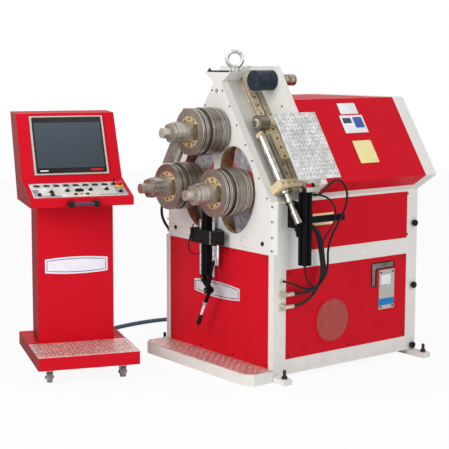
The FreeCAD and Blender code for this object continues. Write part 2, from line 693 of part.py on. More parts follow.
def slope_edges(plate):
    """Names of the front face's long outer edges, from the neck down to the deck."""
    names, sliver = [], evaluate(plate, "running_gap")
    for index, edge in enumerate(plate.Shape.Edges, start=1):
        ends = [vertex.Point for vertex in edge.Vertexes]
        straight = len(ends) == 2 and isinstance(edge.Curve, Part.Line)
        if straight and all(abs(end.y) < sliver for end in ends):
            rise = abs(ends[0].z - ends[1].z)
            if rise > evaluate(plate, "head_rise + sheet"):
                names.append(f"Edge{index}")
    return names


def make_roll_housing():
    housing = body("roll_housing")
    shape = outline(sketch(housing, "XZ_Plane", "-front_thick"), mirror_points([BEHIND_HEAD] + FLANK))
    pad(housing, shape, "housing_back - front_thick")
    head = [("head_half", "head_top"), ("neck_half", "neck_height")]
    pad(housing, outline(sketch(housing, "XZ_Plane", "-front_thick"), mirror_points(head)), "head_back - front_thick")
    for side in (1, -1):
        chamber = ring(sketch(housing, "XZ_Plane", "-front_thick"), f"{side} * pivot_half", "pivot_height",
                       "chamber_radius")
        pocket(housing, chamber, "chamber_back - front_thick")
    bore = ring(sketch(housing, "XZ_Plane", "-front_thick"), "0", "top_roll_height", "shaft_radius + running_gap")
    pocket(housing, bore, "top_shaft_back - front_thick")
    for side in (1, -1):
        pin = ring(sketch(housing, "XZ_Plane", "-front_thick"), f"{side} * pivot_half", "pivot_height", "pin_radius")
        pad(housing, pin, "chamber_back - front_thick")


# Rear plate and hood

def make_rear_plate():
    plate = body("rear_plate")
    points = [("rear_top_half", "rear_top"), ("ridge_half", "ridge_height"), ("body_half", "shoulder_height"),
              ("body_half", "deck_top")]
    pad(plate, outline(sketch(plate, "XZ_Plane", "-housing_back"), mirror_points(points)),
        "rear_plate_back - housing_back")


LIP_HALF = ("body_half + (ridge_half - body_half) * (lip_height - shoulder_height)"
            " / (ridge_height - shoulder_height)")


def make_hood():
    hood = body("hood")
    inner = [("hood_top_half - sheet", "hood_top - sheet"), ("ridge_half - sheet", "ridge_height"),
             (f"{LIP_HALF} - sheet", "lip_height"), (LIP_HALF, "lip_height"), ("body_half", "shoulder_height"),
             ("body_half", "deck_top")]
    outer = [("hood_top_half", "hood_top"), ("ridge_half", "ridge_height"), ("body_half", "shoulder_height"),
             ("body_half", "deck_top")]
    pad(hood, outline(sketch(hood, "XZ_Plane", "-rear_plate_back"), mirror_points(inner)),
        "side_panel_back - rear_plate_back")
    pad(hood, outline(sketch(hood, "XZ_Plane", "-side_panel_back"), mirror_points(outer)), "body_depth - side_panel_back")


def make_hood_cover():
    cover = body("hood_cover")
    outer = [("hood_top_half", "hood_top"), ("ridge_half", "ridge_height"), (LIP_HALF, "lip_height")]
    inner = [(f"{LIP_HALF} - sheet", "lip_height"), ("ridge_half - sheet", "ridge_height"),
             ("hood_top_half - sheet", "hood_top - sheet")]
    right = outer + inner
    left = [(f"-({x})", z) for x, z in reversed(right)]
    loop = right + left
    pad(cover, outline(sketch(cover, "XZ_Plane", "-rear_plate_back"), loop), "side_panel_back - rear_plate_back")


# Top drive and lifting eye

def make_top_drive():
    can = rod("y", "motor_x", "motor_front", "motor_height", "motor_radius", "housing_back - motor_front")
    tube = rod("y", "motor_x", "rear_plate_back", "motor_height", "tube_radius", "tube_back - rear_plate_back")
    name(group(can, tube), "top_drive")


def make_lifting_eye():
    collar = rod("z", "0", "eye_y", "head_top", "collar_radius", "collar_height")
    eye = document.addObject("Part::Torus", "Ring")
    upright = FreeCAD.Rotation(FreeCAD.Vector(0, 0, 1), FreeCAD.Vector(1, -1, 0))
    eye.Placement = FreeCAD.Placement(FreeCAD.Vector(), upright)
    bind(eye, Radius1="eye_ring_radius", Radius2="eye_wire_radius")
    place(eye, "0", "eye_y", "head_top + collar_height + eye_ring_radius + eye_wire_radius / 2")
    name(join(collar, eye), "lifting_eye")


# Shafts and rolls, turned about their own axes

def turned(label, points):
    """A solid of revolution about the Y axis, from radius and depth pairs."""
    piece = body(label)
    profile = outline(sketch(piece, "XY_Plane"), points)
    revolution = piece.newObject("PartDesign::Revolution", "Revolution")
    revolution.Profile = profile
    revolution.ReferenceAxis = (profile, ["V_Axis"])
    revolution.Angle = FULL_TURN
    return piece


def make_shaft(label, x, z, back):
    shaft = turned(label, [
        ("0", "-stub_front"), ("stub_radius", "-stub_front"), ("stub_radius", "-nut_ring_front"),
        ("nut_ring_radius", "-nut_ring_front"), ("nut_ring_radius", "-sleeve_front"),
        ("sleeve_radius", "-sleeve_front"), ("sleeve_radius", "-roll_front"),
        ("shaft_radius", "-roll_front"), ("shaft_radius", back), ("0", back)])
    place(shaft, x, "0", z)


def make_roll(label, x, z):
    roll = turned(label, [
        ("shaft_radius", "-roll_front"), ("sleeve_radius", "-roll_front"),
        ("sleeve_radius", "-roll_front + recess_deep"), ("recess_outer", "-roll_front + recess_deep"),
        ("recess_outer", "-roll_front"), ("ring_radius", "-roll_front"), ("ring_radius", "-flange_back"),
        ("groove_radius", "-flange_back"), ("groove_radius", "-ring_front"), ("ring_radius", "-ring_front"),
        ("ring_radius", "-ring_back"), ("groove_radius", "-ring_back"), ("groove_radius", "-drum_front"),
        ("roll_radius", "-drum_front"), ("roll_radius", "-drum_back"), ("groove_radius", "-drum_back"),
        ("groove_radius", "-last_front"), ("ring_radius", "-last_front"), ("ring_radius", "-roll_back"),
        ("shaft_radius", "-roll_back")])
    place(roll, x, "0", z)


def make_spindles():
    make_shaft("top_shaft", "0", "top_roll_height", "top_shaft_back - arm_gap")
    make_roll("top_roll", "0", "top_roll_height")
    for side, word in ((1, "right"), (-1, "left")):
        x = f"{side} * (pivot_half + swing_radius)"
        make_shaft(f"{word}_shaft", x, "pivot_height", arm_front(side) + " + arm_thick")
        make_roll(f"{word}_roll", x, "pivot_height")


# Swing arms, in two layers of the chamber

def arm_front(side):
    """Front face of a swing plate: the left one lies behind the right one."""
    return "front_thick + arm_gap" if side > 0 else "front_thick + 2 * arm_gap + arm_thick"


def make_swing_arm(side, label):
    front = arm_front(side)
    x = f"{side} * pivot_half"
    nose_x = f"{side} * (pivot_half + swing_radius)"
    slice_of_disc = rod("y", "0", front, "0", "arm_radius", "arm_thick")
    bind(slice_of_disc, Angle="2 * arm_half_angle")
    sector = turn(group(slice_of_disc), (0, 1, 0), f"-arm_half_angle - {0 if side > 0 else HALF_TURN}")
    place(sector, x, "0", "pivot_height")
    boss = rod("y", x, front, "pivot_height", "boss_radius", "arm_thick")
    nose = rod("y", nose_x, "-nose_front", "pivot_height", "nose_radius", f"{front} + arm_thick + nose_front")
    pin_bore = rod("y", x, "0", "pivot_height", "pin_radius + running_gap", "chamber_back")
    shaft_bore = rod("y", nose_x, "-2 * nose_front", "pivot_height", "shaft_radius + running_gap",
                     "chamber_back + 2 * nose_front")
    name(less(join(sector, boss, nose), pin_bore, shaft_bore), label)


# Side guides on the two flanks

def make_guides():
    rails, scales, barrels, covers = [], [], [], []
    for side in (1, -1):
        rail = block(out(side, "0", "rail_thick"), ("rail_front", "rail_back"), down("rail_top", "rail_end"))
        grooves = [block(out(side, "rail_thick / 2 - rail_groove / 2", "rail_thick / 2 + rail_groove / 2"), ys,
                         down("rail_top - overcut", "rail_end + overcut"))
                   for ys in (("rail_front - overcut", "rail_front + rail_groove"),
                              ("rail_back - rail_groove", "rail_back + overcut"))]
        rails.append(on_slope(less(rail, *grooves), side))
        scale = block(out(side, "0", "scale_thick"), ("scale_front", "scale_back"), down("scale_top", "rail_end"))
        scales.append(on_slope(scale, side))
        barrels.append(make_ram(side))
        covers.append(make_tread_cover(side))
    name(group(*rails, *scales), "guide_rails")
    name(group(*barrels), "guide_rams")
    name(group(*covers), "tread_covers")


def make_ram(side):
    """Barrel with its gland, flange block and the stepped oil fitting below."""
    x = f"{side} * ram_off"
    barrel = rod("z", x, "ram_y", "-flange_top", "ram_radius", "flange_top - ram_top")
    bore = rod("z", x, "ram_y", "-rod_end - arm_gap", "ram_bore", "rod_end + arm_gap - ram_top - gland_length")
    mouth = rod("z", x, "ram_y", "-ram_top - 2 * gland_length", "rod_radius + running_gap", "3 * gland_length")
    flange = block(out(side, "0", "flange_high"), ("flange_front", "flange_side"), down("flange_top", "flange_end"))
    fitting, end = [], "flange_end"
    for length, radius in (("collar_long", "fitting_collar"), ("neck_long", "fitting_neck"),
                           ("hex_long", "fitting_hex"), ("waist_long", "fitting_waist"),
                           ("ferrule_long", "fitting_neck")):
        fitting.append(rod("z", x, "ram_y", f"-({end}) - {length}", radius, length))
        end = f"{end} + {length}"
    return on_slope(less(join(barrel, flange, *fitting), bore, mouth), side)


def make_tread_cover(side):
    """A tread sheet that lies on the hood's slope and reaches forward over the guide."""
    slope = "(ridge_half - hood_top_half) / (hood_top - ridge_height)"
    points = [(f"hood_top_half + (hood_top - {z}) * {slope}", z) for z in ("tread_top", "tread_low")]
    far = [(f"{x} + tread_thick", z) for x, z in reversed(points)]
    piece = document.addObject("PartDesign::Body", "Body")
    shape = [(f"{side} * ({x})", z) for x, z in points + far]
    pad(piece, outline(sketch(piece, "XZ_Plane", "-tread_front"), shape), "tread_back - tread_front")
    return piece


def make_slide(side, label):
    """Slide block on the rail, with the guide roll's axle, the lug and the piston rod."""
    x = f"{side} * ram_off"
    plate = block(out(side, "rail_thick + slide_gap", "rail_thick + slide_gap + slide_thick"),
                  ("slide_front", "slide_back"), down("slide_top", "slide_end"))
    top = "rail_thick + slide_gap + slide_thick"
    lug_run = down("lug_top", "lug_top + lug_thick")
    lug = block(out(side, "ram_off - lug_half", top), ("ram_y - lug_half", "rail_front - lug_gap"), lug_run)
    root = block(out(side, "rail_thick + slide_gap", top), ("ram_y", "slide_back"), lug_run)
    piston = rod("z", x, "ram_y", "-rod_end", "rod_radius", "rod_end - lug_top - lug_thick / 2")
    hub = block(out(side, "guide_off - axle_cap_radius", "guide_off + axle_cap_radius"),
                ("slide_front - hub_lift", "slide_back"), down("guide_s - axle_cap_radius", "guide_s + axle_cap_radius"))
    axle_x = f"{side} * guide_off"
    axle = rod("y", axle_x, "guide_front - axle_gap - axle_cap", "-guide_s", "axle_radius",
               "slide_back - guide_front + axle_gap + axle_cap")
    cap = rod("y", axle_x, "guide_front - axle_gap - axle_cap", "-guide_s", "axle_cap_radius", "axle_cap")
    name(on_slope(join(plate, lug, root, piston, hub, axle, cap), side), label)


def make_guide_roll(side, label):
    x = f"{side} * guide_off"
    rim = rod("y", x, "guide_front", "-guide_s", "guide_radius", "guide_back - guide_front")
    bore = rod("y", x, "guide_front - overcut", "-guide_s", "axle_radius + running_gap", "guide_back - guide_front + 2 * overcut")
    name(on_slope(less(rim, bore), side), label)


# Hose post at the right flank

def make_hose_post():
    bracket = block(("body_half", "post_half"), ("bracket_front", "bracket_back"), ("bracket_low", "bracket_high"))
    outer = "post_half + post_side"
    post = block(("post_half", outer), ("bracket_front", "bracket_front + post_side"), ("post_low", "post_high"))
    middle = "bracket_front + post_side / 2"
    grooves = [block((f"{outer} - post_groove", f"{outer} + overcut"), (f"{middle} - post_groove / 2",
                     f"{middle} + post_groove / 2"), ("post_low - overcut", "post_high + overcut")),
               block(("post_half + post_side / 2 - post_groove / 2", "post_half + post_side / 2 + post_groove / 2"),
                     ("bracket_front - overcut", "bracket_front + post_groove"), ("post_low - overcut", "post_high + overcut"))]
    arm = block(("post_half + arm_inset", "post_half + arm_inset + arm_tall"), ("bracket_front + post_side", "arm_end"), ("arm_low", "arm_high"))
    ends = [rod("y", x, "bracket_back", "bulkhead_height", "bulkhead_radius", "bulkhead_length")
            for x in ("bulkhead_outer", "bulkhead_inner")]
    name(join(less(post, *grooves), bracket, arm, *ends), "hose_post")


# Front probe

def make_probe():
    block_piece = block(("-probe_half", "probe_half"), ("-probe_reach", "-probe_back"), ("probe_low", "probe_high"))
    leg = block(("-probe_leg_half", "probe_leg_half"), ("-probe_back - overcut", "0"), ("probe_low", "probe_high"))
    hollow = block(("-profile_half - profile_gap", "profile_half + profile_gap"),
                   ("-probe_axis - profile_half - profile_gap", "-probe_axis + profile_half + profile_gap"),
                   ("probe_low - overcut", "probe_high + overcut"))
    rods = [rod("z", f"{side} * probe_rod_half", "-probe_axis", "probe_rod_low", "probe_rod_radius",
                "probe_rod_high - probe_rod_low") for side in (1, -1)]
    name(join(less(join(block_piece, leg), hollow), *rods), "probe_bracket")
    profile = block(("-profile_half", "profile_half"), ("-probe_axis - profile_half", "-probe_axis + profile_half"),
                    ("profile_low", "profile_high"))
    groove = block(("-profile_groove / 2", "profile_groove / 2"),
                   ("-probe_axis - profile_half - overcut", "-probe_axis - profile_half + profile_groove"),
                   ("profile_low - overcut", "profile_high + overcut"))
    name(less(profile, groove), "probe_profile")


# Console

def at_console(item):
    """Put a piece from the console's own frame where the console stands."""
    item = turn(loose(item), (0, 0, 1), "console_angle")
    return place(item, "console_x", "console_y", "0")


DESK = [("desk_front", "desk_low"), ("desk_front", "desk_lip"), ("desk_knee", "desk_knee_high"),
        ("head_front", "head_front_high"), ("console_back", "console_top"), ("head_low_back", "desk_low")]


def make_console():
    base = block(("-stand_half", "stand_half"), ("0", "stand_depth"), ("stand_low", "stand_high"))
    column = block(("-column_half", "column_half"), ("column_front", "column_back"), ("stand_high - overcut", "desk_low"))
    name(at_console(join(base, column, *castor_plates())), "console_stand")
    tread = block(("-stand_half", "stand_half"), ("0", "stand_tread"), ("stand_high", "stand_high + tread_thick"))
    head = body("console_head")
    profile = outline(sketch(head, "YZ_Plane", "-desk_half"), DESK)
    pad(head, profile, "2 * desk_half", backward=False)
    at_console(head)
    return at_console(tread)


def console_slab(label, low, high, start, end, half, thick, border=None, deep=None):
    """A flat slab on one of the head's slopes, between two places along the slope."""
    run = f"sqrt(({high[0]} - {low[0]})^2 + ({high[1]} - {low[1]})^2)"
    along = (f"({high[0]} - {low[0]}) / {run}", f"({high[1]} - {low[1]}) / {run}")

    def at(distance, lift):
        return (f"{low[0]} + {distance} * {along[0]} - ({lift}) * {along[1]}",
                f"{low[1]} + {distance} * {along[1]} + ({lift}) * {along[0]}")

    slab = body(label)
    face = [at(start, "0"), at(end, "0"), at(end, thick), at(start, thick)]
    pad(slab, outline(sketch(slab, "YZ_Plane", f"-{half}"), face), f"2 * {half}", backward=False)
    if border:
        inner = [at(f"({start} + {border})", f"{thick} - {deep}"), at(f"({end} - {border})", f"{thick} - {deep}"),
                 at(f"({end} - {border})", f"{thick} + overcut"), at(f"({start} + {border})", f"{thick} + overcut")]
        window = outline(sketch(slab, "YZ_Plane", f"-{half} + {border}"), inner)
        pocket(slab, window, f"2 * ({half} - {border})", flipped=True)
    at_console(slab)


def make_console_front():
    console_slab("screen_frame", ("desk_knee", "desk_knee_high"), ("head_front", "head_front_high"),
                 "frame_start", "frame_end", "frame_half", "frame_thick", "frame_border", "screen_deep")
    console_slab("button_plate", ("desk_front", "desk_lip"), ("desk_knee", "desk_knee_high"),
                 "keys_start", "keys_end", "keys_half", "keys_thick")
    bar = rod("x", "-handle_half", "desk_front - handle_reach", "handle_height", "handle_radius", "2 * handle_half")
    legs = [rod("y", f"{side} * (handle_half - handle_radius)", "desk_front - handle_reach", "handle_height",
                "handle_radius", "handle_reach") for side in (1, -1)]
    name(at_console(join(bar, *legs)), "console_handle")


def castor_places():
    """Name and swivel axis of each castor, in the console's frame."""
    for row, y in (("front", "castor_inset"), ("rear", "stand_depth - castor_inset")):
        for word, side in (("left", -1), ("right", 1)):
            yield f"{row}_{word}", f"{side} * (stand_half - castor_inset)", y


def castor_plates():
    """The fixed top plates under the console's base."""
    plates = []
    for word, x, y in castor_places():
        xs = (f"{x} - castor_plate", f"{x} + castor_plate")
        ys = (f"{y} - castor_plate", f"{y} + castor_plate")
        plates.append(block(xs, ys, ("stand_low - castor_plate_thick", "stand_low")))
    return plates


def make_castors():
    swivel_top = "stand_low - castor_plate_thick"
    for word, x, y in castor_places():
        axle_y = f"{y} + castor_trail"
        cheek = "(wheel_half + fork_gap)"
        crown = block((f"{x} - {cheek} - fork_thick", f"{x} + {cheek} + fork_thick"),
                      (f"{y} - swivel_radius", f"{y} + swivel_radius + crown_reach"),
                      (f"{swivel_top} - swivel_height - castor_plate_thick", f"{swivel_top} - swivel_height"))
        bearing = rod("z", x, y, f"{swivel_top} - swivel_height - overcut", "swivel_radius", "swivel_height + overcut - swivel_gap")
        cheeks = []
        for direction in (1, -1):
            start = f"{x} + {cheek}" if direction > 0 else f"{x} - {cheek} - fork_thick"
            end = f"{start} + fork_thick"
            cheeks.append(block((start, end), (f"{axle_y} - fork_radius", f"{axle_y} + fork_radius"),
                                ("wheel_radius", f"{swivel_top} - swivel_height")))
            cheeks.append(rod("x", start, axle_y, "wheel_radius", "fork_radius", "fork_thick"))
        pin = rod("x", f"{x} - {cheek}", axle_y, "wheel_radius", "wheel_pin", f"2 * ({cheek})")
        name(at_console(join(crown, bearing, *cheeks, pin)), f"castor_fork_{word}")
        tyre = rod("x", f"{x} - wheel_half", axle_y, "wheel_radius", "wheel_radius", "2 * wheel_half")
        hole = rod("x", f"{x} - wheel_half - overcut", axle_y, "wheel_radius", "wheel_pin + running_gap",
                   "2 * wheel_half + 2 * overcut")
        name(at_console(less(tyre, hole)), f"castor_wheel_{word}")


# Hose and cable ends

def make_hose_fittings():
    pieces = []
    for side in (1, -1):
        for height in (("port_high", "port_low") if side > 0 else ("port_high",)):
            wall = "body_half" if side > 0 else "-body_half - port_boss_thick"
            pipe = "body_half" if side > 0 else "-body_half - port_reach + elbow_radius"
            bend = f"{side} * (body_half + port_reach - elbow_radius)"
            pieces.append(join(rod("x", wall, "port_y", height, "port_boss_radius", "port_boss_thick"),
                               rod("x", pipe, "port_y", height, "elbow_radius - overcut", "port_reach - elbow_radius"),
                               rod("y", bend, "port_y", height, "elbow_radius", "elbow_length")))
    pieces.append(rod("x", "body_half", "plug_y", "plug_height", "plug_radius", "plug_reach"))
    valve = block(("valve_inner", "valve_outer"), ("valve_front", "housing_back"), ("valve_low", "valve_high"))
    middle = "(valve_front + housing_back) / 2"
    cap = rod("x", "valve_outer", middle, "valve_high - valve_cap_radius - overcut", "valve_cap_radius",
              "valve_cap_length")
    outlets = [rod("x", "valve_outer", f"{middle} + {side} * outlet_apart", "valve_low + outlet_rise",
                   "outlet_radius", "outlet_length") for side in (1, -1)]
    pieces.append(join(valve, cap, *outlets))
    pieces.append(rod("x", "-body_half - gland_reach", "gland_y", "gland_height", "gland_radius", "gland_reach"))
    name(group(*pieces), "hose_fittings")
    gland = rod("y", "console_gland_u", "stand_depth", "console_gland_height", "gland_radius", "gland_reach")
    name(at_console(gland), "console_gland")


# Hoses and cables: straight runs joined by tangent arcs

BEND_SHARE = 0.45


def bend_radius(before, corner, after):
    """Largest arc that the two runs at a corner allow."""
    runs = (corner - before, after - corner)
    half_turn = runs[0].getAngle(runs[1]) / 2
    return BEND_SHARE * min(run.Length for run in runs) / math.tan(half_turn)


def cord_path(points):
    places = [FreeCAD.Vector(*(evaluate(sheet, value) for value in point)) for point in points]
    edges, radii, start = [], [], places[0]
    for before, corner, after in zip(places, places[1:], places[2:]):
        back, ahead = (before - corner).normalize(), (after - corner).normalize()
        cut_back = BEND_SHARE * min((corner - before).Length, (after - corner).Length)
        first, last = corner + back * cut_back, corner + ahead * cut_back
        radius = bend_radius(before, corner, after)
        bisector = (back + ahead).normalize()
        reach = (radius ** 2 + cut_back ** 2) ** 0.5 - radius
        edges.append(Part.LineSegment(start, first).toShape())
        edges.append(Part.Arc(first, corner + bisector * reach, last).toShape())
        radii.append(radius)
        start = last
    edges.append(Part.LineSegment(start, places[-1]).toShape())
    return Part.Wire(edges), radii


def make_cord(label, radius_name, points):
    radius = float(sheet.get(radius_name))
    path, radii = cord_path(points)
    start = path.Edges[0].Vertexes[0].Point
    heading = path.Edges[0].Vertexes[1].Point - start
    section = Part.Wire(Part.makeCircle(radius, start, heading))
    tube = path.makePipeShell([section], True, False)
    if tube.Volume < 0:
        tube.reverse()
    expected = math.pi * radius ** 2 * path.Length
    if abs(tube.Volume / expected - 1) > 0.01:
        raise RuntimeError(f"{label} has a volume of {tube.Volume:.0f}, not {expected:.0f}")
    cord = document.addObject("Part::Feature", "Cord")
    cord.Shape = tube
    cord.Placement = FreeCAD.Placement()
    name(cord, label)
    print(f"{label}: {path.Length:.0f} long, bend radii", [round(value) for value in radii])


def port_end(level, run, side=1):
    """The last two points of a hose that meets an oil port."""
    x = f"{side} * (body_half + port_reach - elbow_radius)"
    back = "port_y + elbow_length"
    return [(x, f"{back} + {run}", level), (x, back, level)]


def bulkhead_start(x, run):
    """The first two points of a hose that leaves the bracket."""
    back = "bracket_back + bulkhead_length"
    return [(x, back, "bulkhead_height"), (x, f"{back} + {run}", "bulkhead_height")]


def outlet_start(side, run):
    """The first two points of a cable that leaves the valve block."""
    x, y = "valve_outer + outlet_length", f"(valve_front + housing_back) / 2 + {side} * outlet_apart"
    return [(x, y, "valve_low + outlet_rise"), (f"{x} + {run}", y, "valve_low + outlet_rise")]


UPPER_HOSE = [(500, 200, 745), (500, 224, 724), (500, 241, 694), (500, 251, 660), (500, 258, 622),
              (500, 264, 583), (500, 267, 545), (500, 264, 509), (498, 252, 476), (494, 229, 449),
              (486, 196, 433), (472, 165, 426)]
UPPER_HOSE[:0] = bulkhead_start("bulkhead_outer", 30)
UPPER_HOSE += port_end("port_high", 29)
LOWER_HOSE = [(477, 200, 745), (477, 224, 724), (477, 241, 694), (477, 252, 659), (477, 260, 621),
              (477, 268, 582), (477, 273, 543), (477, 272, 505), (477, 262, 466), (476, 240, 430),
              (475, 207, 399), (469, 170, 376)]
LOWER_HOSE[:0] = bulkhead_start("bulkhead_inner", 30)
LOWER_HOSE += port_end("port_low", 31)
LOOP_CABLE = [(581, 166, 914), (591, 184, 931), (591, 210, 955), (588, 246, 974), (586, 283, 971),
              (585, 313, 950), (584, 331, 918), (584, 334, 878), (580, 326, 834), (570, 310, 790),
              (559, 291, 748), (546, 276, 706), (535, 267, 663), (526, 266, 620), (522, 271, 576),
              (521, 271, 536), (519, 258, 500), (516, 231, 471), (513, 196, 453), (511, 160, 448),
              (511, 127, 455), (512, 98, 467), (508, 75, 479), (497, 56, 487)]
LOOP_CABLE[:0] = outlet_start(-1, 22)
LOOP_CABLE += [("body_half + plug_reach + 22", "plug_y", "plug_height"), ("body_half + plug_reach", "plug_y", "plug_height")]
THIN_CABLE = [(577, 186, 900), (588, 201, 892), (590, 221, 878), (586, 244, 857), (578, 264, 831),
              (569, 274, 800), (563, 269, 765), (553, 250, 726), (543, 226, 690), (535, 216, 655),
              (533, 222, 620), (533, 237, 583), (534, 246, 545), (533, 240, 505), (533, 220, 473),
              (532, 190, 459), (531, 159, 467), (530, 135, 492), (529, 120, 525)]
THIN_CABLE[:0] = outlet_start(1, 20)
THIN_CABLE += [("post_half + 12", "bracket_front + 33", "post_low - 20"), ("post_half + 12", "bracket_front + 33", "post_low")]
LEFT_HOSE = [(-552.1, 60, 774.9), (-566.3, 60, 754.4), (-578, 64, 722), (-584, 74, 684),
             (-583, 93, 646), (-577, 119, 610), (-567, 147, 576), (-554, 175, 544), (-539, 197, 512),
             (-523, 203, 482), (-507, 193, 455), (-490, 173, 435), (-471, 147, 425)]
LEFT_HOSE += port_end("port_high", 18, -1)
CONSOLE_CABLE = [(-598.8, -362.8, 110), (-636.5, -349.4, 110), (-690, -330, 95), (-748, -305, 62),
                 (-805, -275, 28), (-862, -222, 12), (-915, -135, 12), (-950, -25, 12), (-975, 110, 12),
                 (-982, 250, 12), (-962, 385, 12), (-900, 500, 12), (-805, 575, 12), (-700, 598, 14),
                 (-606, 600, 32), (-545, 600, 54)]
CONSOLE_CABLE += [("-body_half - gland_reach - 34", "gland_y", "gland_height"),
                  ("-body_half - gland_reach", "gland_y", "gland_height")]

# Build

make_base_cabinet()
make_panels()
make_side_fittings()
make_feet()
step_tread = make_step()
make_front_plate()
make_roll_housing()
make_rear_plate()
make_hood()
make_hood_cover()
make_top_drive()
make_lifting_eye()
make_spindles()
make_swing_arm(1, "right_swing_arm")
make_swing_arm(-1, "left_swing_arm")
make_guides()
for flank, word in ((1, "right"), (-1, "left")):
    make_slide(flank, f"{word}_slide")
    make_guide_roll(flank, f"{word}_guide_roll")
make_hose_post()
make_probe()
console_tread = make_console()
name(group(step_tread, console_tread), "tread_sheets")
make_console_front()
make_castors()
make_hose_fittings()
make_cord("upper_hose", "hose_radius", UPPER_HOSE)
make_cord("lower_hose", "hose_radius", LOWER_HOSE)
make_cord("left_hose", "hose_radius", LEFT_HOSE)
make_cord("loop_cable", "cable_radius", LOOP_CABLE)
make_cord("thin_cable", "thin_radius", THIN_CABLE)
make_cord("console_cable", "conduit_radius", CONSOLE_CABLE)
document.recompute()

# Check each object and write each sub-part

for item in document.Objects:
    if {"Invalid", "Error"} & set(item.State):
        raise RuntimeError(f"{item.Label} failed: {item.State}")

os.makedirs("parts", exist_ok=True)
for label, item in parts.items():
    if item.Shape.isNull() or not item.Shape.isValid():
        raise RuntimeError(f"{label} has no valid shape")
    item.Shape.exportStep(f"parts/{label}.step")
    size = item.Shape.BoundBox
    print(f"{label}: {item.Shape.Volume / 1e6:.2f} litres, {len(item.Shape.Solids)} solid(s),",
          f"{size.XLength:.0f} x {size.YLength:.0f} x {size.ZLength:.0f}")
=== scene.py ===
# %% [markdown]
# # A three-roll angle bending machine and its console
# The CAD model gives every rigid part its size and place. This script dresses it: paint, machined
# steel, sheet patterns, screws, switches, hoses and light. Each step says what the real piece is
# and why it is made the way it is here.

import math

import bmesh
import bpy
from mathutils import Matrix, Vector


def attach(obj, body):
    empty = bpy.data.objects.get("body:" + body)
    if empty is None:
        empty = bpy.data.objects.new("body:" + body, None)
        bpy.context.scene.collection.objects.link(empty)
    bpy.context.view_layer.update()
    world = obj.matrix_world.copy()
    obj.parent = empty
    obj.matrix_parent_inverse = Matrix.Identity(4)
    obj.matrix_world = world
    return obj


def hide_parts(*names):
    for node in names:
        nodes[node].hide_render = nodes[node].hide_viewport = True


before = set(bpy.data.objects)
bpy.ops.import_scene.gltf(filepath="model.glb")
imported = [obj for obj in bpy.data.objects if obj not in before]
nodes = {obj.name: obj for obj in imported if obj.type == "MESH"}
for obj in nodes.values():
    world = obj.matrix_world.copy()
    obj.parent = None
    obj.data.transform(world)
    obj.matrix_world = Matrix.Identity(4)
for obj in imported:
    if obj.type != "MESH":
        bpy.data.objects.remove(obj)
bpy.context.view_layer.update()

# %% [markdown]
# ## Camera
# The photograph was taken with a long lens from the machine's right front, a little above the
# rolls. A camera built from the solved position and angles puts every CAD edge on its place in the
# picture. The small shift only moves the frame, so other views stay correct.

# %% Camera
CAMERA_PLACE = Vector((4.7025, -3.6223, 1.5501))
CAMERA_TURN = 0.927896
CAMERA_DIP = 0.1183737
camera_data = bpy.data.cameras.new("camera")
camera_data.sensor_width = 36
camera_data.lens = 95.91
camera_data.shift_x = 0.05199
camera_data.shift_y = -0.05669
camera_data.clip_end = 60
camera = bpy.data.objects.new("camera", camera_data)
bpy.context.scene.collection.objects.link(camera)
bpy.context.scene.camera = camera
sight = Vector((-math.sin(CAMERA_TURN) * math.cos(CAMERA_DIP), math.cos(CAMERA_TURN) * math.cos(CAMERA_DIP),
                -math.sin(CAMERA_DIP)))
camera.location = CAMERA_PLACE
camera.rotation_euler = sight.to_track_quat("-Z", "Y").to_euler()
print("camera looks along", tuple(round(v, 3) for v in sight))

# %% [markdown]
# ## Shader arithmetic
# A material is a small calculation. Wrapping a node's output in a class with overloaded operators
# lets the calculation read like one, and each operation still becomes an ordinary Math node.


# %% Shader arithmetic
class Link:
    """One output of a shader node that can be added, multiplied and compared."""

    def __init__(self, owner, socket):
        self.owner, self.socket = owner, socket

    def join(self, operation, other, turned=False):
        values = (other, self) if turned else (self, other)
        return self.owner.node("ShaderNodeMath", {"operation": operation}, {0: values[0], 1: values[1]})

    def __add__(self, other): return self.join("ADD", other)
    def __sub__(self, other): return self.join("SUBTRACT", other)
    def __rsub__(self, other): return self.join("SUBTRACT", other, True)
    def __mul__(self, other): return self.join("MULTIPLY", other)
    def __lt__(self, other): return self.join("LESS_THAN", other)
    def __gt__(self, other): return self.join("GREATER_THAN", other)
    def power(self, other): return self.join("POWER", other)
    def most(self, other): return self.join("MAXIMUM", other)
    def size(self): return self.join("ABSOLUTE", 0.0)
    def wave(self): return self.join("SINE", 0.0)


class Shader:
    """A node tree in which one call adds a node with its settings, values and links."""

    def __init__(self, tree):
        self.tree = tree

    def node(self, kind, settings=None, inputs=None, output=0):
        made = self.tree.nodes.new(kind)
        for setting, value in (settings or {}).items():
            setattr(made, setting, value)
        for socket, value in (inputs or {}).items():
            if isinstance(value, Link):
                self.tree.links.new(value.socket, made.inputs[socket])
            else:
                made.inputs[socket].default_value = value
        return Link(self, made.outputs[output])

    def ray(self, kind):
        return self.node("ShaderNodeLightPath", output=f"Is {kind} Ray")

    def surface(self, share, first, second, end):
        """Mixes two shaders into the tree's end node."""
        mixed = self.node("ShaderNodeMixShader", {}, {0: share, 1: first, 2: second})
        self.tree.links.new(mixed.socket, end.inputs["Surface"])


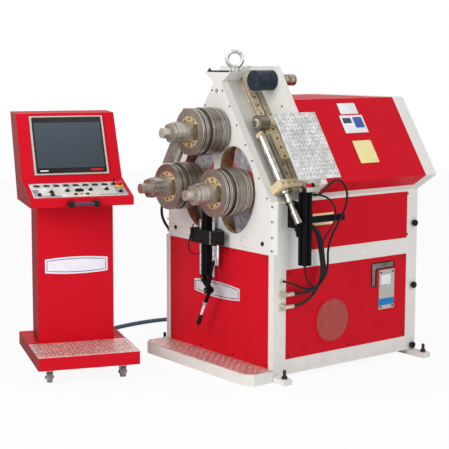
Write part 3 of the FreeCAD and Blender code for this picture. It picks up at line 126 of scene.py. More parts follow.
class Finish(Shader):
    """A material with one Principled shader."""

    def __init__(self, name, gloss=0.2, **constants):
        self.material = bpy.data.materials.new(name)
        self.material.use_nodes = True
        super().__init__(self.material.node_tree)
        self.shader = self.tree.nodes["Principled BSDF"]
        self.shader.inputs["Specular IOR Level"].default_value = gloss
        for socket, value in constants.items():
            self.shader.inputs[socket.replace("_", " ")].default_value = value
        self.place = self.node("ShaderNodeTexCoord", output="Object")
        self.normal = self.node("ShaderNodeTexCoord", output="Normal")

    def axes(self, vector=None):
        outputs = self.node("ShaderNodeSeparateXYZ", {}, {0: vector or self.place}).socket.node.outputs
        return [Link(self, outputs[i]) for i in range(3)]

    def noise(self, scale, detail=3.0, roughness=0.5, vector=None):
        return self.node("ShaderNodeTexNoise", {}, {"Vector": vector or self.place, "Scale": scale,
                                                    "Detail": detail, "Roughness": roughness})

    def stretched(self, x, y, z, detail, roughness=0.6):
        """Noise that runs at its own pace along each axis."""
        vector = self.node("ShaderNodeMapping", {}, {0: self.place, 3: (x, y, z)})
        return self.noise(1.0, detail, roughness, vector)

    def fade(self, value, low, high, start=0.0, end=1.0):
        """A smooth step from start to end while the value goes from low to high."""
        return self.node("ShaderNodeMapRange", {"interpolation_type": "SMOOTHSTEP"},
                         {"Value": value, "From Min": low, "From Max": high, "To Min": start, "To Max": end})

    def blend(self, share, first, second):
        """A colour between two others."""
        colours = [c if isinstance(c, Link) else (*c, 1.0) for c in (first, second)]
        return self.node("ShaderNodeMix", {"data_type": "RGBA"}, {0: share, 6: colours[0], 7: colours[1]}, 2)

    def cloudy(self, first, second, scale, low=0.4, high=0.7, detail=3.0, roughness=0.5, most=1.0):
        """The first colour with clouds of the second, which covers it up to a share of most."""
        return self.blend(self.fade(self.noise(scale, detail, roughness), low, high, 0.0, most), first, second)

    def feed(self, **links):
        for socket, link in links.items():
            self.tree.links.new(link.socket, self.shader.inputs[socket.replace("_", " ")])
        return self

    def bump(self, height, distance):
        return self.feed(Normal=self.node("ShaderNodeBump", {}, {"Height": height, "Distance": distance}))

    def grain(self, scale, distance, detail=2.0):
        return self.bump(self.noise(scale, detail), distance)


def tint(red, green, blue):
    """Linear colour of a value on the usual 0 to 255 scale."""
    return tuple(((c / 255 + 0.055) / 1.055) ** 2.4 if c > 10 else c / 255 / 12.92 for c in (red, green, blue))


print("red paint in linear numbers:", [round(v, 3) for v in tint(207, 22, 40)])

# %% [markdown]
# ## Paint
# The housing wears sprayed enamel: cream-white on the frame and signal red on the sheets. Sprayed
# paint has a faint orange-peel surface and picks up a little grime low down, so the noise feeds
# the bump and the colour varies by only a few percent.


# %% Paint
PEEL = 420.0


def enamel(name, colour, grime, roughness=0.42, gloss=0.2):
    finish = Finish(name, gloss, Roughness=roughness)
    low = finish.fade(finish.axes()[2], 0.0, 0.45, 0.5, 0.0)
    wear = (finish.fade(finish.noise(2.2, 4.0), 0.45, 0.8) * 0.25
            + low * finish.fade(finish.noise(14.0, 5.0), 0.4, 0.75)) * 0.5
    finish.feed(Base_Color=finish.blend(wear, colour, grime),
                Roughness=finish.fade(finish.noise(9.0), 0.3, 0.7, roughness - 0.05, roughness + 0.08))
    return finish.grain(PEEL, 0.0001)


cream, cream_grime = tint(231, 229, 223), tint(196, 190, 176)
signal_red, red_grime = tint(208, 20, 38), tint(168, 18, 32)
white_enamel = enamel("cream_white_enamel", cream, cream_grime)
red_enamel = enamel("signal_red_enamel", signal_red, red_grime, gloss=0.06)
black_enamel = enamel("satin_black_enamel", tint(15, 16, 19), tint(34, 33, 33), 0.45, 0.06)

# %% [markdown]
# The console stands turned, by the direction below. Its side towards the camera lies in the
# machine's shade, so faces that look that way get a deeper red: painted shade, chosen by the way a face looks.

# %% Console paint
CONSOLE_ACROSS = Vector((0.33529, 0.94211, 0))
console_red = Finish("console_red_enamel", 0.05, Roughness=0.45)
facing = console_red.axes(console_red.normal)
# painted shade: a deeper red on faces that look to the console's near side
shaded_side = console_red.fade(facing[0] * -CONSOLE_ACROSS.x + facing[1] * -CONSOLE_ACROSS.y, 0.6, 0.8)
clouded_red = console_red.cloudy(signal_red, red_grime, 2.2, 0.45, 0.8, 4.0, most=0.15)
console_red.feed(Base_Color=console_red.blend(shaded_side, clouded_red, tint(128, 8, 18)))
console_red.grain(PEEL, 0.0001)
print("paints:", white_enamel.material.name, red_enamel.material.name, black_enamel.material.name)

# %% [markdown]
# ## Machined steel
# The rolls are turned and blackened. Streaks and tone change mostly with the depth along the axis,
# because every roll axis runs front to back, and handling leaves warm brown patches. Where a groove
# meets its flank, a narrow pale band is painted on: a painted highlight along each edge, so the roll
# steel knows those depths.


# %% Machined steel
HIGHLIGHT_HALF_WIDTH = 0.0014
ROLL_EDGE_HIGHLIGHTS = (0.1718, 0.1618, 0.1492, 0.1388, 0.111, 0.0478, 0.0372, 0.0168)


def turned_steel(name, dark, pale, roughness, highlight_depths=()):
    finish = Finish(name, Metallic=0.72, Roughness=roughness)
    depth = finish.axes()[1]
    band = finish.stretched(0.0, 130.0, 0.0, 2.0)
    patches = finish.noise(11.0, 4.0, 0.55)
    streak = finish.stretched(4.0, 260.0, 4.0, 3.0)
    mixed = finish.blend(finish.fade(patches * 0.35 + band * 0.65, 0.34, 0.68), dark, pale)
    colour = finish.cloudy(mixed, tint(128, 100, 70), 26.0, 0.56, 0.76, 4.0, most=0.3)
    for rim in highlight_depths:
        # painted highlight: a pale band at each roll edge depth
        colour = finish.blend((depth + rim).size() < HIGHLIGHT_HALF_WIDTH, colour, tint(216, 211, 202))
    finish.feed(Base_Color=colour, Roughness=finish.fade(streak, 0.3, 0.7, roughness - 0.06, roughness + 0.1))
    return finish.bump(streak, 0.000008)


def plain_steel(name, dark, pale, roughness, metallic=0.9, grain=60.0):
    finish = Finish(name, Metallic=metallic, Roughness=roughness)
    finish.feed(Base_Color=finish.cloudy(dark, pale, grain, 0.35, 0.68, 5.0, 0.6),
                Roughness=finish.fade(finish.noise(grain * 3), 0.3, 0.7, roughness - 0.07, roughness + 0.1))
    return finish.grain(grain * 14, 0.00005)


roll_steel = turned_steel("blackened_roll_steel", tint(106, 99, 90), tint(158, 150, 140), 0.32, ROLL_EDGE_HIGHLIGHTS)
shaft_steel = turned_steel("turned_shaft_steel", tint(158, 152, 140), tint(206, 200, 188), 0.24)
bright_steel = plain_steel("bright_steel", tint(168, 168, 166), tint(214, 214, 212), 0.22)
ground_steel = plain_steel("ground_rail_steel", tint(182, 166, 140), tint(224, 210, 186), 0.36, 0.35)
passivated = plain_steel("gold_passivated_steel", tint(214, 192, 154), tint(236, 218, 184), 0.42, 0.06)
dark_steel = plain_steel("dark_oiled_steel", tint(38, 36, 34), tint(74, 70, 66), 0.4, 0.7)
satin_sheet = plain_steel("satin_sheet_steel", tint(176, 174, 164), tint(206, 204, 194), 0.35, 0.5, 200.0)
castor_zinc = plain_steel("castor_zinc", tint(196, 198, 200), tint(230, 230, 230), 0.3, 0.25)
fitting_zinc = plain_steel("fitting_zinc", tint(186, 178, 160), tint(226, 220, 206), 0.32, 0.5)
print("steels made for rolls, shafts, rails, slides and screws")

# %% [markdown]
# ## Rubber, plastic and glass
# Hoses have a woven cover, the console's conduit is ribbed plastic, knobs are moulded. They differ
# mostly in gloss and grain, so one small recipe covers them.


# %% Rubber, plastic and glass
def moulded(name, colour, roughness, grain=500.0, depth=0.00008, variation=0.12):
    finish = Finish(name, Roughness=roughness)
    lighter = tuple(min(1.0, c * (1 + 3 * variation) + variation * 0.02) for c in colour)
    finish.feed(Base_Color=finish.cloudy(colour, lighter, 25.0, 0.4, 0.75, 4.0))
    return finish.grain(grain, depth)


def film(name, colour, roughness=0.3, variation=0.03):
    return moulded(name, colour, roughness, 300.0, 0.00002, variation)


tyre_rubber = moulded("castor_tyre_rubber", tint(138, 140, 144), 0.5)
hose_rubber = moulded("hose_rubber", tint(20, 20, 22), 0.42, 900.0, 0.0002)
conduit_plastic = moulded("conduit_plastic", tint(92, 108, 130), 0.45)
knob_plastic = moulded("black_knob_plastic", tint(18, 18, 20), 0.3)
grey_plate = moulded("pale_console_plate", tint(214, 210, 204), 0.4, 700.0, 0.00003)
shade_plate = moulded("grey_console_print", tint(150, 152, 158), 0.4, 700.0, 0.00003)
slate_key = moulded("slate_switch_plastic", tint(58, 66, 84), 0.35)
red_plastic = moulded("red_knob_plastic", tint(204, 18, 30), 0.25)
yellow_plastic = moulded("yellow_plate_plastic", tint(236, 206, 60), 0.35)
bezel_black = moulded("screen_bezel_black", tint(24, 22, 22), 0.22, 900.0, 0.00002)
blank_label = film("blank_label_film", tint(232, 234, 236))
pale_label = film("blank_cream_film", tint(238, 222, 160), 0.32)
blue_label = film("blank_blue_film", tint(12, 122, 196), variation=0.05)
screen_glass = Finish("screen_glass", Roughness=0.4)
# painted reflection: the dark glass turns lighter towards the top
screen_reflection_rise = screen_glass.fade(screen_glass.axes()[2], 1.0, 1.25)
screen_glass.feed(Base_Color=screen_glass.blend(screen_reflection_rise, tint(58, 68, 76), tint(66, 76, 84)))
screen_glass.grain(40.0, 0.00002)
print("plastics, rubbers and films made")


# %% [markdown]
# ## Making and placing pieces
# Every added piece has its place in its mesh and rides on a CAD body. These helpers build slabs,
# turned parts and rods in one mesh with bmesh, soften their edges and give them a finish.


# %% Making and placing pieces
def link_piece(name, mesh, finish, body="frame"):
    piece = bpy.data.objects.new(name, mesh)
    bpy.context.scene.collection.objects.link(piece)
    mesh.materials.clear()
    mesh.materials.append(finish.material)
    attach(piece, body)
    return piece


def finish_mesh(name, bm, smooth=True):
    bmesh.ops.remove_doubles(bm, verts=bm.verts, dist=1e-6)
    bmesh.ops.recalc_face_normals(bm, faces=bm.faces)
    mesh = bpy.data.meshes.new(name)
    bm.to_mesh(mesh)
    bm.free()
    if smooth:
        mesh.polygons.foreach_set("use_smooth", [True] * len(mesh.polygons))
        mesh.set_sharp_from_angle(angle=math.radians(35))
    return mesh


def basis(normal, along=None):
    """Axes of a local frame whose third axis is the normal."""
    third = Vector(normal).normalized()
    guide = Vector(along) if along is not None else Vector((0, 0, 1) if abs(third.z) < 0.9 else (1, 0, 0))
    first = (guide - third * guide.dot(third)).normalized()
    return first, third.cross(first), third


def skin(bm, rings, closed=False):
    """Faces between each ring of vertices and the next, and from the last to the first if closed."""
    count = len(rings[0])
    for near, far in zip(rings, rings[1:] + (rings[:1] if closed else [])):
        for i in range(count):
            j = (i + 1) % count
            bm.faces.new((near[i], near[j], far[j], far[i]))


def ring_at(bm, centre, first, second, radius, count, turn=0.0):
    """Vertices on a circle in the plane of two directions."""
    angles = [math.tau * (i + turn) / count for i in range(count)]
    return [bm.verts.new(centre + (first * math.cos(a) + second * math.sin(a)) * radius) for a in angles]


def prism(bm, outline, origin, axes, low, high, bevel=0.0):
    """A flat outline in a local frame, raised from low to high along the frame's third axis."""
    first, second, third = axes
    rings = [[bm.verts.new(Vector(origin) + first * x + second * y + third * level) for x, y in outline]
             for level in (low, high)]
    top = bm.faces.new(rings[1])
    bm.faces.new(list(reversed(rings[0])))
    skin(bm, rings)
    if bevel:
        bmesh.ops.bevel(bm, geom=list(top.edges), offset=bevel, segments=2, affect="EDGES", profile=0.6)


def arc(radius, start, end, steps):
    angles = [math.radians(start + (end - start) * i / steps) for i in range(steps + 1)]
    return [(radius * math.cos(a), radius * math.sin(a)) for a in angles]


def round_rect(width, height, radius):
    return [(cx * (width / 2 - radius) + u, cy * (height / 2 - radius) + v)
            for cx, cy, start in ((1, 1, 0), (-1, 1, 90), (-1, -1, 180), (1, -1, 270))
            for u, v in arc(radius, start, start + 90, 5)]


def mesh_piece(name, build, finish, body="frame", smooth=True):
    """A piece whose mesh is filled by a function."""
    bm = bmesh.new()
    build(bm)
    return link_piece(name, finish_mesh(name, bm, smooth), finish, body)


def slab(name, centre, normal, along, width, height, thick, finish, body="frame", radius=0.004, sink=0.0):
    """A thin plate with rounded corners that lies on a surface."""
    return mesh_piece(name, lambda bm: prism(bm, round_rect(width, height, radius), centre, basis(normal, along),
                                             -sink, thick, thick * 0.25), finish, body)


CORE = 0.0003


def turned_piece(name, profile, origin, axis, finish, body="frame", count=32, crown=0.0, core=CORE, hollow=False):
    """A turned solid from radius and height pairs. A core radius carries both ends in to the axis,
    the upper one higher by the crown; a hollow one is closed into a ring instead."""
    if core:
        profile = [(core, profile[0][1]), *profile, (core, profile[-1][1] + crown)]
    first, second, third = basis(axis)

    def build(bm):
        rings = [ring_at(bm, Vector(origin) + third * level, first, second, radius, count)
                 for radius, level in profile]
        skin(bm, rings, hollow)
        if not hollow:
            bm.faces.new(rings[0])
            bm.faces.new(rings[-1])

    return mesh_piece(name, build, finish, body)


def ring_band(name, centre, normal, outer, inner, low, high, finish, body="frame", count=64):
    """A flat ring with a rectangular section."""
    return turned_piece(name, [(outer, low), (outer, high), (inner, high), (inner, low)], centre, normal, finish,
                        body, count, core=None, hollow=True)


print("helpers ready")

# %% [markdown]
# ## Hoses and cables
# Each cord follows the same points as its CAD solid. A NURBS curve with those control points hangs
# in one smooth line, the way a hose under its own stiffness does, and a round bevel gives it its
# thickness.

# %% Routes in metres
ROUTES = {
    "upper_hose": [(0.5, 0.138, 0.757), (0.5, 0.168, 0.757), (0.5, 0.2, 0.745), (0.5, 0.224, 0.724),
        (0.5, 0.241, 0.694), (0.5, 0.251, 0.66), (0.5, 0.258, 0.622), (0.5, 0.264, 0.583),
        (0.5, 0.267, 0.545), (0.5, 0.264, 0.509), (0.498, 0.252, 0.476), (0.494, 0.229, 0.449),
        (0.486, 0.196, 0.433), (0.472, 0.165, 0.426), (0.462, 0.134, 0.424), (0.462, 0.105, 0.424)],
    "lower_hose": [(0.477, 0.138, 0.757), (0.477, 0.168, 0.757), (0.477, 0.2, 0.745),
        (0.477, 0.224, 0.724), (0.477, 0.241, 0.694), (0.477, 0.252, 0.659), (0.477, 0.26, 0.621),
        (0.477, 0.268, 0.582), (0.477, 0.273, 0.543), (0.477, 0.272, 0.505), (0.477, 0.262, 0.466),
        (0.476, 0.24, 0.43), (0.475, 0.207, 0.399), (0.469, 0.17, 0.376), (0.462, 0.136, 0.364),
        (0.462, 0.105, 0.364)],
    "loop_cable": [(0.54, 0.157, 0.904), (0.562, 0.157, 0.904), (0.581, 0.166, 0.914),
        (0.591, 0.184, 0.931), (0.591, 0.21, 0.955), (0.588, 0.246, 0.974), (0.586, 0.283, 0.971),
        (0.585, 0.313, 0.95), (0.584, 0.331, 0.918), (0.584, 0.334, 0.878), (0.58, 0.326, 0.834),
        (0.57, 0.31, 0.79), (0.559, 0.291, 0.748), (0.546, 0.276, 0.706), (0.535, 0.267, 0.663),
        (0.526, 0.266, 0.62), (0.522, 0.271, 0.576), (0.521, 0.271, 0.536), (0.519, 0.258, 0.5),
        (0.516, 0.231, 0.471), (0.513, 0.196, 0.453), (0.511, 0.16, 0.448), (0.511, 0.127, 0.455),
        (0.512, 0.098, 0.467), (0.508, 0.075, 0.479), (0.497, 0.056, 0.487), (0.479, 0.046, 0.49),
        (0.457, 0.046, 0.49)],
    "thin_cable": [(0.54, 0.179, 0.904), (0.56, 0.179, 0.904), (0.577, 0.186, 0.9), (0.588, 0.201, 0.892),
        (0.59, 0.221, 0.878), (0.586, 0.244, 0.857), (0.578, 0.264, 0.831), (0.569, 0.274, 0.8),
        (0.563, 0.269, 0.765), (0.553, 0.25, 0.726), (0.543, 0.226, 0.69), (0.535, 0.216, 0.655),
        (0.533, 0.222, 0.62), (0.533, 0.237, 0.583), (0.534, 0.246, 0.545), (0.533, 0.24, 0.505),
        (0.533, 0.22, 0.473), (0.532, 0.19, 0.459), (0.531, 0.159, 0.467), (0.53, 0.135, 0.492),
        (0.529, 0.12, 0.525), (0.529, 0.117, 0.552), (0.529, 0.117, 0.572)],
    "left_hose": [(-0.5521, 0.06, 0.7749), (-0.5663, 0.06, 0.7544), (-0.578, 0.064, 0.722),
        (-0.584, 0.074, 0.684), (-0.583, 0.093, 0.646), (-0.577, 0.119, 0.61), (-0.567, 0.147, 0.576),
        (-0.554, 0.175, 0.544), (-0.539, 0.197, 0.512), (-0.523, 0.203, 0.482), (-0.507, 0.193, 0.455),
        (-0.49, 0.173, 0.435), (-0.471, 0.147, 0.425), (-0.462, 0.123, 0.424), (-0.462, 0.105, 0.424)],
    "console_cable": [(-0.5988, -0.3628, 0.11), (-0.6365, -0.3494, 0.11), (-0.69, -0.33, 0.095),
        (-0.748, -0.305, 0.062), (-0.805, -0.275, 0.028), (-0.862, -0.222, 0.012), (-0.915, -0.135, 0.012),
        (-0.95, -0.025, 0.012), (-0.975, 0.11, 0.012), (-0.982, 0.25, 0.012), (-0.962, 0.385, 0.012),
        (-0.9, 0.5, 0.012), (-0.805, 0.575, 0.012), (-0.7, 0.598, 0.014), (-0.606, 0.6, 0.032),
        (-0.545, 0.6, 0.054), (-0.5, 0.6, 0.062), (-0.466, 0.6, 0.062)],
}
print({name: len(points) for name, points in ROUTES.items()})


# %% Smooth lines
def smooth_line(name, points, bevel):
    curve = bpy.data.curves.new(name, "CURVE")
    curve.dimensions = "3D"
    spline = curve.splines.new("NURBS")
    spline.points.add(len(points) - 1)
    for point, place in zip(spline.points, points):
        point.co = (*place, 1.0)
    spline.order_u = 3
    spline.use_endpoint_u = True
    curve.resolution_u = 10
    curve.bevel_depth = bevel
    curve.bevel_resolution = 5
    curve.use_fill_caps = True
    return bpy.data.objects.new(name, curve)


def sampled(points):
    """Points along the route's own spline, read from a curve with no bevel."""
    guide = smooth_line("route_guide", points, 0.0)
    bpy.context.scene.collection.objects.link(guide)
    bpy.context.view_layer.update()
    mesh = bpy.data.meshes.new_from_object(guide.evaluated_get(bpy.context.evaluated_depsgraph_get()))
    line = [vertex.co.copy() for vertex in mesh.vertices]
    bpy.data.objects.remove(guide)
    return line


def run_length(line):
    return sum((b - a).length for a, b in zip(line, line[1:]))


# %% [markdown]
# The oil hoses have a woven cover: crossing threads that wind round the hose. A tube built along
# the sampled line carries a UV map whose first axis runs round it and whose second axis measures
# its length, so the weave keeps its scale on every bend.


# %% Tubes along a line
def even_points(line, step):
    """Points at even distances along a polyline."""
    total = run_length(line)
    count = max(2, round(total / step))
    result, index, passed = [line[0].copy()], 0, 0.0
    for k in range(1, count):
        target = total * k / count
        while passed + (line[index + 1] - line[index]).length < target:
            passed += (line[index + 1] - line[index]).length
            index += 1
        span = line[index + 1] - line[index]
        result.append(line[index] + span * ((target - passed) / span.length))
    return result + [line[-1].copy()]


def tube(name, line, radius_at, finish, sides=16, body="frame"):
    """A closed tube round a line, with a radius for each distance along it."""
    tangents = [(line[min(i + 1, len(line) - 1)] - line[max(i - 1, 0)]).normalized() for i in range(len(line))]
    side = basis(tangents[0])[0]
    bm = bmesh.new()
    rings, travelled = [], [0.0]
    for i, (place, tangent) in enumerate(zip(line, tangents)):
        if i:
            travelled.append(travelled[-1] + (place - line[i - 1]).length)
        side = (side - tangent * side.dot(tangent)).normalized()
        rings.append(ring_at(bm, place, side, tangent.cross(side), radius_at(travelled[-1]), sides))
    layer = bm.loops.layers.uv.new("UVMap")
    for i in range(len(rings) - 1):
        for k in range(sides):
            j = (k + 1) % sides
            face = bm.faces.new((rings[i][k], rings[i][j], rings[i + 1][j], rings[i + 1][k]))
            places = ((k, i), (k + 1, i), (k + 1, i + 1), (k, i + 1))
            for loop, (step, along) in zip(face.loops, places):
                loop[layer].uv = (step / sides, travelled[along])
            face.smooth = True
    bm.faces.new(list(reversed(rings[0])))
    bm.faces.new(rings[-1])
    mesh = bpy.data.meshes.new(name)
    bm.normal_update()
    bm.to_mesh(mesh)
    bm.free()
    return link_piece(name, mesh, finish, body)


THREADS_ROUND, THREADS_ALONG = math.tau * 6, 900.0
braid = Finish("woven_hose_cover", Roughness=0.5)
around, along = braid.axes(braid.node("ShaderNodeUVMap", {"uv_map": "UVMap"}))[:2]
round_part, long_part = around * THREADS_ROUND, along * THREADS_ALONG
weave = (round_part + long_part).wave().most((round_part - long_part).wave())
braid.feed(Base_Color=braid.blend(braid.fade(weave, 0.1, 0.95), tint(10, 10, 11), tint(58, 54, 50)))
braid.bump(weave, 0.0005)
print("hose cover made")

# %% [markdown]
# The conduit between the cabinet and the console is a corrugated tube. Its ribs are real rings in
# the mesh: the radius swings with the distance along the line.

# %% Cords in place
CORD_FACTS = {
    "upper_hose": (0.015, "medium", "hanging", braid),
    "lower_hose": (0.015, "medium", "hanging", braid),
    "left_hose": (0.015, "medium", "hanging", braid),
    "loop_cable": (0.011, "limp", "hanging", hose_rubber),
    "thin_cable": (0.009, "limp", "hanging", hose_rubber),
    "console_cable": (0.024, "medium", "loose", conduit_plastic),
}
RIB_PITCH, RIB_DEPTH, HOSE_STEP = 0.0052, 0.0009, 0.005
for cord_name, (diameter, stiffness, lay, cover) in CORD_FACTS.items():
    radius = diameter / 2
    line = sampled(ROUTES[cord_name])
    if cover is conduit_plastic:
        spaced = even_points(line, RIB_PITCH / 5)
        piece = tube(cord_name + "_tube", spaced,
                     lambda s: radius - RIB_DEPTH + RIB_DEPTH * math.cos(math.tau * s / RIB_PITCH), cover)
    elif cover is braid:
        spaced = even_points(line, HOSE_STEP)
        piece = tube(cord_name + "_tube", spaced, lambda s: radius, cover)
    else:
        spaced = None
        piece = smooth_line(cord_name + "_tube", ROUTES[cord_name], radius)
        bpy.context.scene.collection.objects.link(piece)
        piece.data.materials.append(cover.material)
        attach(piece, "frame")
    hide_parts(cord_name)
    "cable_jacket" if cord_name == "console_cable" else "hose_rubber"

# %% [markdown]
# ## Finishes on the CAD parts
# A CAD part whose shape is right stays and only gets its finish. Some parts show two finishes, such
# as the front plate, whose slot walls are bare golden steel. There a mask from the place on the
# part mixes the two colours, with no seam in the mesh.

# %% Masks round the swing slots
PIVOT_X, PIVOT_Z, SWING = 0.054, 0.902, 0.133
SLOT_HALF, CHAMBER_RADIUS, CHAMBER_TOP, CHAMBER_FRONT = 0.118, 0.2525, 1.16, 0.0955


def ring_distance(finish, side, from_pivot=0.0):
    """Distance from a swing pivot's axis, or from an axis further out on its side."""
    x, y, z = finish.axes()
    across, up = x - side * (PIVOT_X + from_pivot), z - PIVOT_Z
    return (across * across + up * up).power(0.5)


def golden_inside(name, mask_of):
    """Cream enamel whose masked places are golden bare steel."""
    finish = Finish(name, Roughness=0.42)
    mask = mask_of(finish)
    gold = finish.cloudy(tint(172, 140, 100), tint(222, 196, 156), 22.0, 0.35, 0.7, 5.0, 0.6)
    rust = finish.cloudy(gold, tint(176, 62, 62), 9.0, 0.5, 0.62, 4.0, most=0.6)
    nx, ny, nz = finish.axes(finish.normal)
    # painted shade: sloping flank faces that look sideways and up get a greyer cream
    flank = (nx.size() > 0.3) * (nz > 0.2)
    shade = finish.blend(flank, cream, tint(196, 192, 185))
    paint = finish.cloudy(shade, cream_grime, 2.2, 0.45, 0.8, 4.0, most=0.12)
    finish.feed(Base_Color=finish.blend(mask, paint, rust), Metallic=mask * 0.15)
    return finish.grain(PEEL, 0.0001)


def slot_wall_mask(finish):
    near = [(ring_distance(finish, side) - SWING).size() < SLOT_HALF for side in (1, -1)]
    return near[0].most(near[1]) * (finish.axes(finish.normal)[1].size() < 0.5)


def chamber_mask(finish):
    x, y, z = finish.axes()
    inside = [ring_distance(finish, side) < CHAMBER_RADIUS for side in (1, -1)]
    return inside[0].most(inside[1]) * (y < CHAMBER_FRONT) * (z < CHAMBER_TOP)


plate_enamel = golden_inside("front_plate_enamel", slot_wall_mask)
chamber_enamel = golden_inside("housing_enamel", chamber_mask)

# %% [markdown]
# The swing arms are ground steel plates. Their faces show grey steel with washed-out red where
# primer has worn away, and the thick noses round the shafts are golden.


# %% Swing arm steel
NOSE_RADIUS = 0.0845


def swing_steel(name, side):
    finish = Finish(name, Metallic=0.2, Roughness=0.42)
    nose = ring_distance(finish, side, SWING) < NOSE_RADIUS
    grey = finish.cloudy(tint(152, 154, 160), tint(196, 196, 196), 34.0, 0.35, 0.7, 4.0)
    worn = finish.cloudy(grey, tint(214, 96, 100), 13.0, 0.5, 0.6, 5.0, 0.6)
    gold = finish.cloudy(tint(168, 136, 100), tint(216, 190, 150), 13.0, 0.4, 0.66, 5.0, 0.6)
    finish.feed(Base_Color=finish.blend(nose, worn, gold))
    return finish.grain(300.0, 0.0001, 3.0)


right_arm_steel = swing_steel("right_swing_arm_steel", 1)
left_arm_steel = swing_steel("left_swing_arm_steel", -1)

# %% [markdown]
# The drive's motor is blue-black and its tube behind is bare steel. The probe's block is black round
# bright guide rods. A ram has a bright chrome barrel and fitting with a golden flange between them.


# %% Two-tone finishes
def two_tone(name, roughness, mask_of, metallic, first, second, grain, depth):
    """Two clouded colours; the second one and the metal lie where the mask is."""
    finish = Finish(name, Roughness=roughness)
    mask = mask_of(*finish.axes())
    finish.feed(Base_Color=finish.blend(mask, finish.cloudy(*first), finish.cloudy(*second)), Metallic=mask * metallic)
    return finish.grain(grain, depth, 3.0), mask


def down_slope(x, z):
    return (x.size() - 0.0495) * 0.5689 - (z - 1.4365) * 0.82241


drive_finish = two_tone("drive_housing_finish", 0.35, lambda x, y, z: y > 0.2, 0.8,
                        (tint(22, 34, 46), tint(44, 56, 70), 30.0),
                        (tint(132, 118, 100), tint(190, 176, 156), 50.0), 200.0, 0.00006)[0]
probe_finish = two_tone("probe_block_finish", 0.4, lambda x, y, z: (
    (z > 0.6975).most(z < 0.6265)) * ((x.size() - 0.052).size() < 0.0085), 0.9,
                        (tint(8, 8, 9), tint(24, 21, 20), 60.0),
                        (tint(176, 178, 178), tint(222, 224, 222), 80.0), 500.0, 0.00006)[0]
ram_finish, bright_part = two_tone("ram_finish", 0.2, lambda x, y, z: (
    down_slope(x, z) < 0.6095).most(down_slope(x, z) > 0.6505), 0.95,
                                   (tint(214, 190, 150), tint(236, 216, 180), 60.0, 0.35, 0.68),
                                   (tint(150, 146, 138), tint(186, 182, 174), 24.0, 0.4, 0.7, 4.0), 300.0, 0.00003)
ram_finish.feed(Roughness=0.42 - bright_part * 0.2)
print("two-tone finishes made")

# %% [markdown]
# The step and the console's base carry chequered aluminium sheet. Its pink is painted into the colour:
# a painted reflection of the red around it. Small scratches and a fine grain keep it from looking like
# plastic.


# %% Sheet with raised bars
def chequer(name, dark, pale, roughness):
    finish = Finish(name, Metallic=0.55, Roughness=roughness)
    scratch = finish.stretched(30.0, 240.0, 240.0, 4.0)
    finish.feed(Base_Color=finish.cloudy(dark, pale, 24.0, 0.35, 0.7, 5.0),
                Roughness=finish.fade(scratch, 0.3, 0.7, roughness - 0.08, roughness + 0.12))
    return finish.bump(scratch, 0.00008)


cover_sheet = chequer("bright_chequer_sheet", tint(196, 196, 194), tint(234, 234, 232), 0.3)
# painted reflection: the step sheet and its bars are tinted pink for the red around them
step_sheet = chequer("rosy_chequer_sheet", tint(206, 172, 166), tint(232, 206, 200), 0.34)
bar_bright = plain_steel("raised_bar_bright", tint(120, 116, 110), tint(222, 222, 220), 0.25, 0.6, 120.0)
bar_rosy = plain_steel("raised_bar_rosy", tint(176, 104, 100), tint(236, 214, 208), 0.28, 0.5, 120.0)

# The levelling bolts stand in the white feet and are dark steel.
BOLT_HEIGHT = 0.0415
foot_top = max(v.co.z for v in nodes["foot_bars"].data.vertices) - BOLT_HEIGHT
foot_finish = Finish("foot_bar_finish", Roughness=0.42)
foot_paint = foot_finish.cloudy(cream, cream_grime, 14.0, 0.4, 0.75, 5.0, most=0.3)
foot_finish.feed(Base_Color=foot_finish.blend(foot_finish.axes()[2] > foot_top, foot_paint, tint(52, 46, 42)))
foot_finish.grain(PEEL, 0.0001)
NODE_FINISHES = {
    white_enamel: ("base_cabinet", "front_step", "rear_plate", "hood"), foot_finish: ("foot_bars",),
    red_enamel: ("cabinet_panels", "hood_cover", "vent_grille"), console_red: ("console_stand", "console_head"),
    plate_enamel: ("front_plate",), chamber_enamel: ("roll_housing",),
    drive_finish: ("top_drive",), bright_steel: ("lifting_eye", "console_gland"), slate_key: ("console_handle",),
    shaft_steel: ("top_shaft", "right_shaft", "left_shaft"),
    roll_steel: ("top_roll", "right_roll", "left_roll", "right_guide_roll", "left_guide_roll"),
    right_arm_steel: ("right_swing_arm",), left_arm_steel: ("left_swing_arm",),
    ground_steel: ("guide_rails",), ram_finish: ("guide_rams",), passivated: ("right_slide", "left_slide"),
    cover_sheet: ("tread_covers",), step_sheet: ("tread_sheets",),
    black_enamel: ("hose_post", "probe_profile"), probe_finish: ("probe_bracket",),
    satin_sheet: ("screen_frame", "connection_plate"), grey_plate: ("button_plate",),
    castor_zinc: tuple(n for n in nodes if n.startswith("castor_fork")), fitting_zinc: ("hose_fittings",),
    tyre_rubber: tuple(n for n in nodes if n.startswith("castor_wheel")),
}
for finish, names in NODE_FINISHES.items():
    for node_name in names:
        nodes[node_name].data.materials.clear()
        nodes[node_name].data.materials.append(finish.material)
dressed = {n for names in NODE_FINISHES.values() for n in names} | set(ROUTES)
print("nodes without a finish:", sorted(set(nodes) - dressed))

# %% [markdown]
# ## Repeated pieces
# Screws, raised bars and switches repeat. A mesh of bare points carries each place with its normal
# and a direction, and one Geometry Nodes tree sets a small shape on every point. The tree's named
# inputs give the sizes, and the result becomes a plain mesh, one for each body.


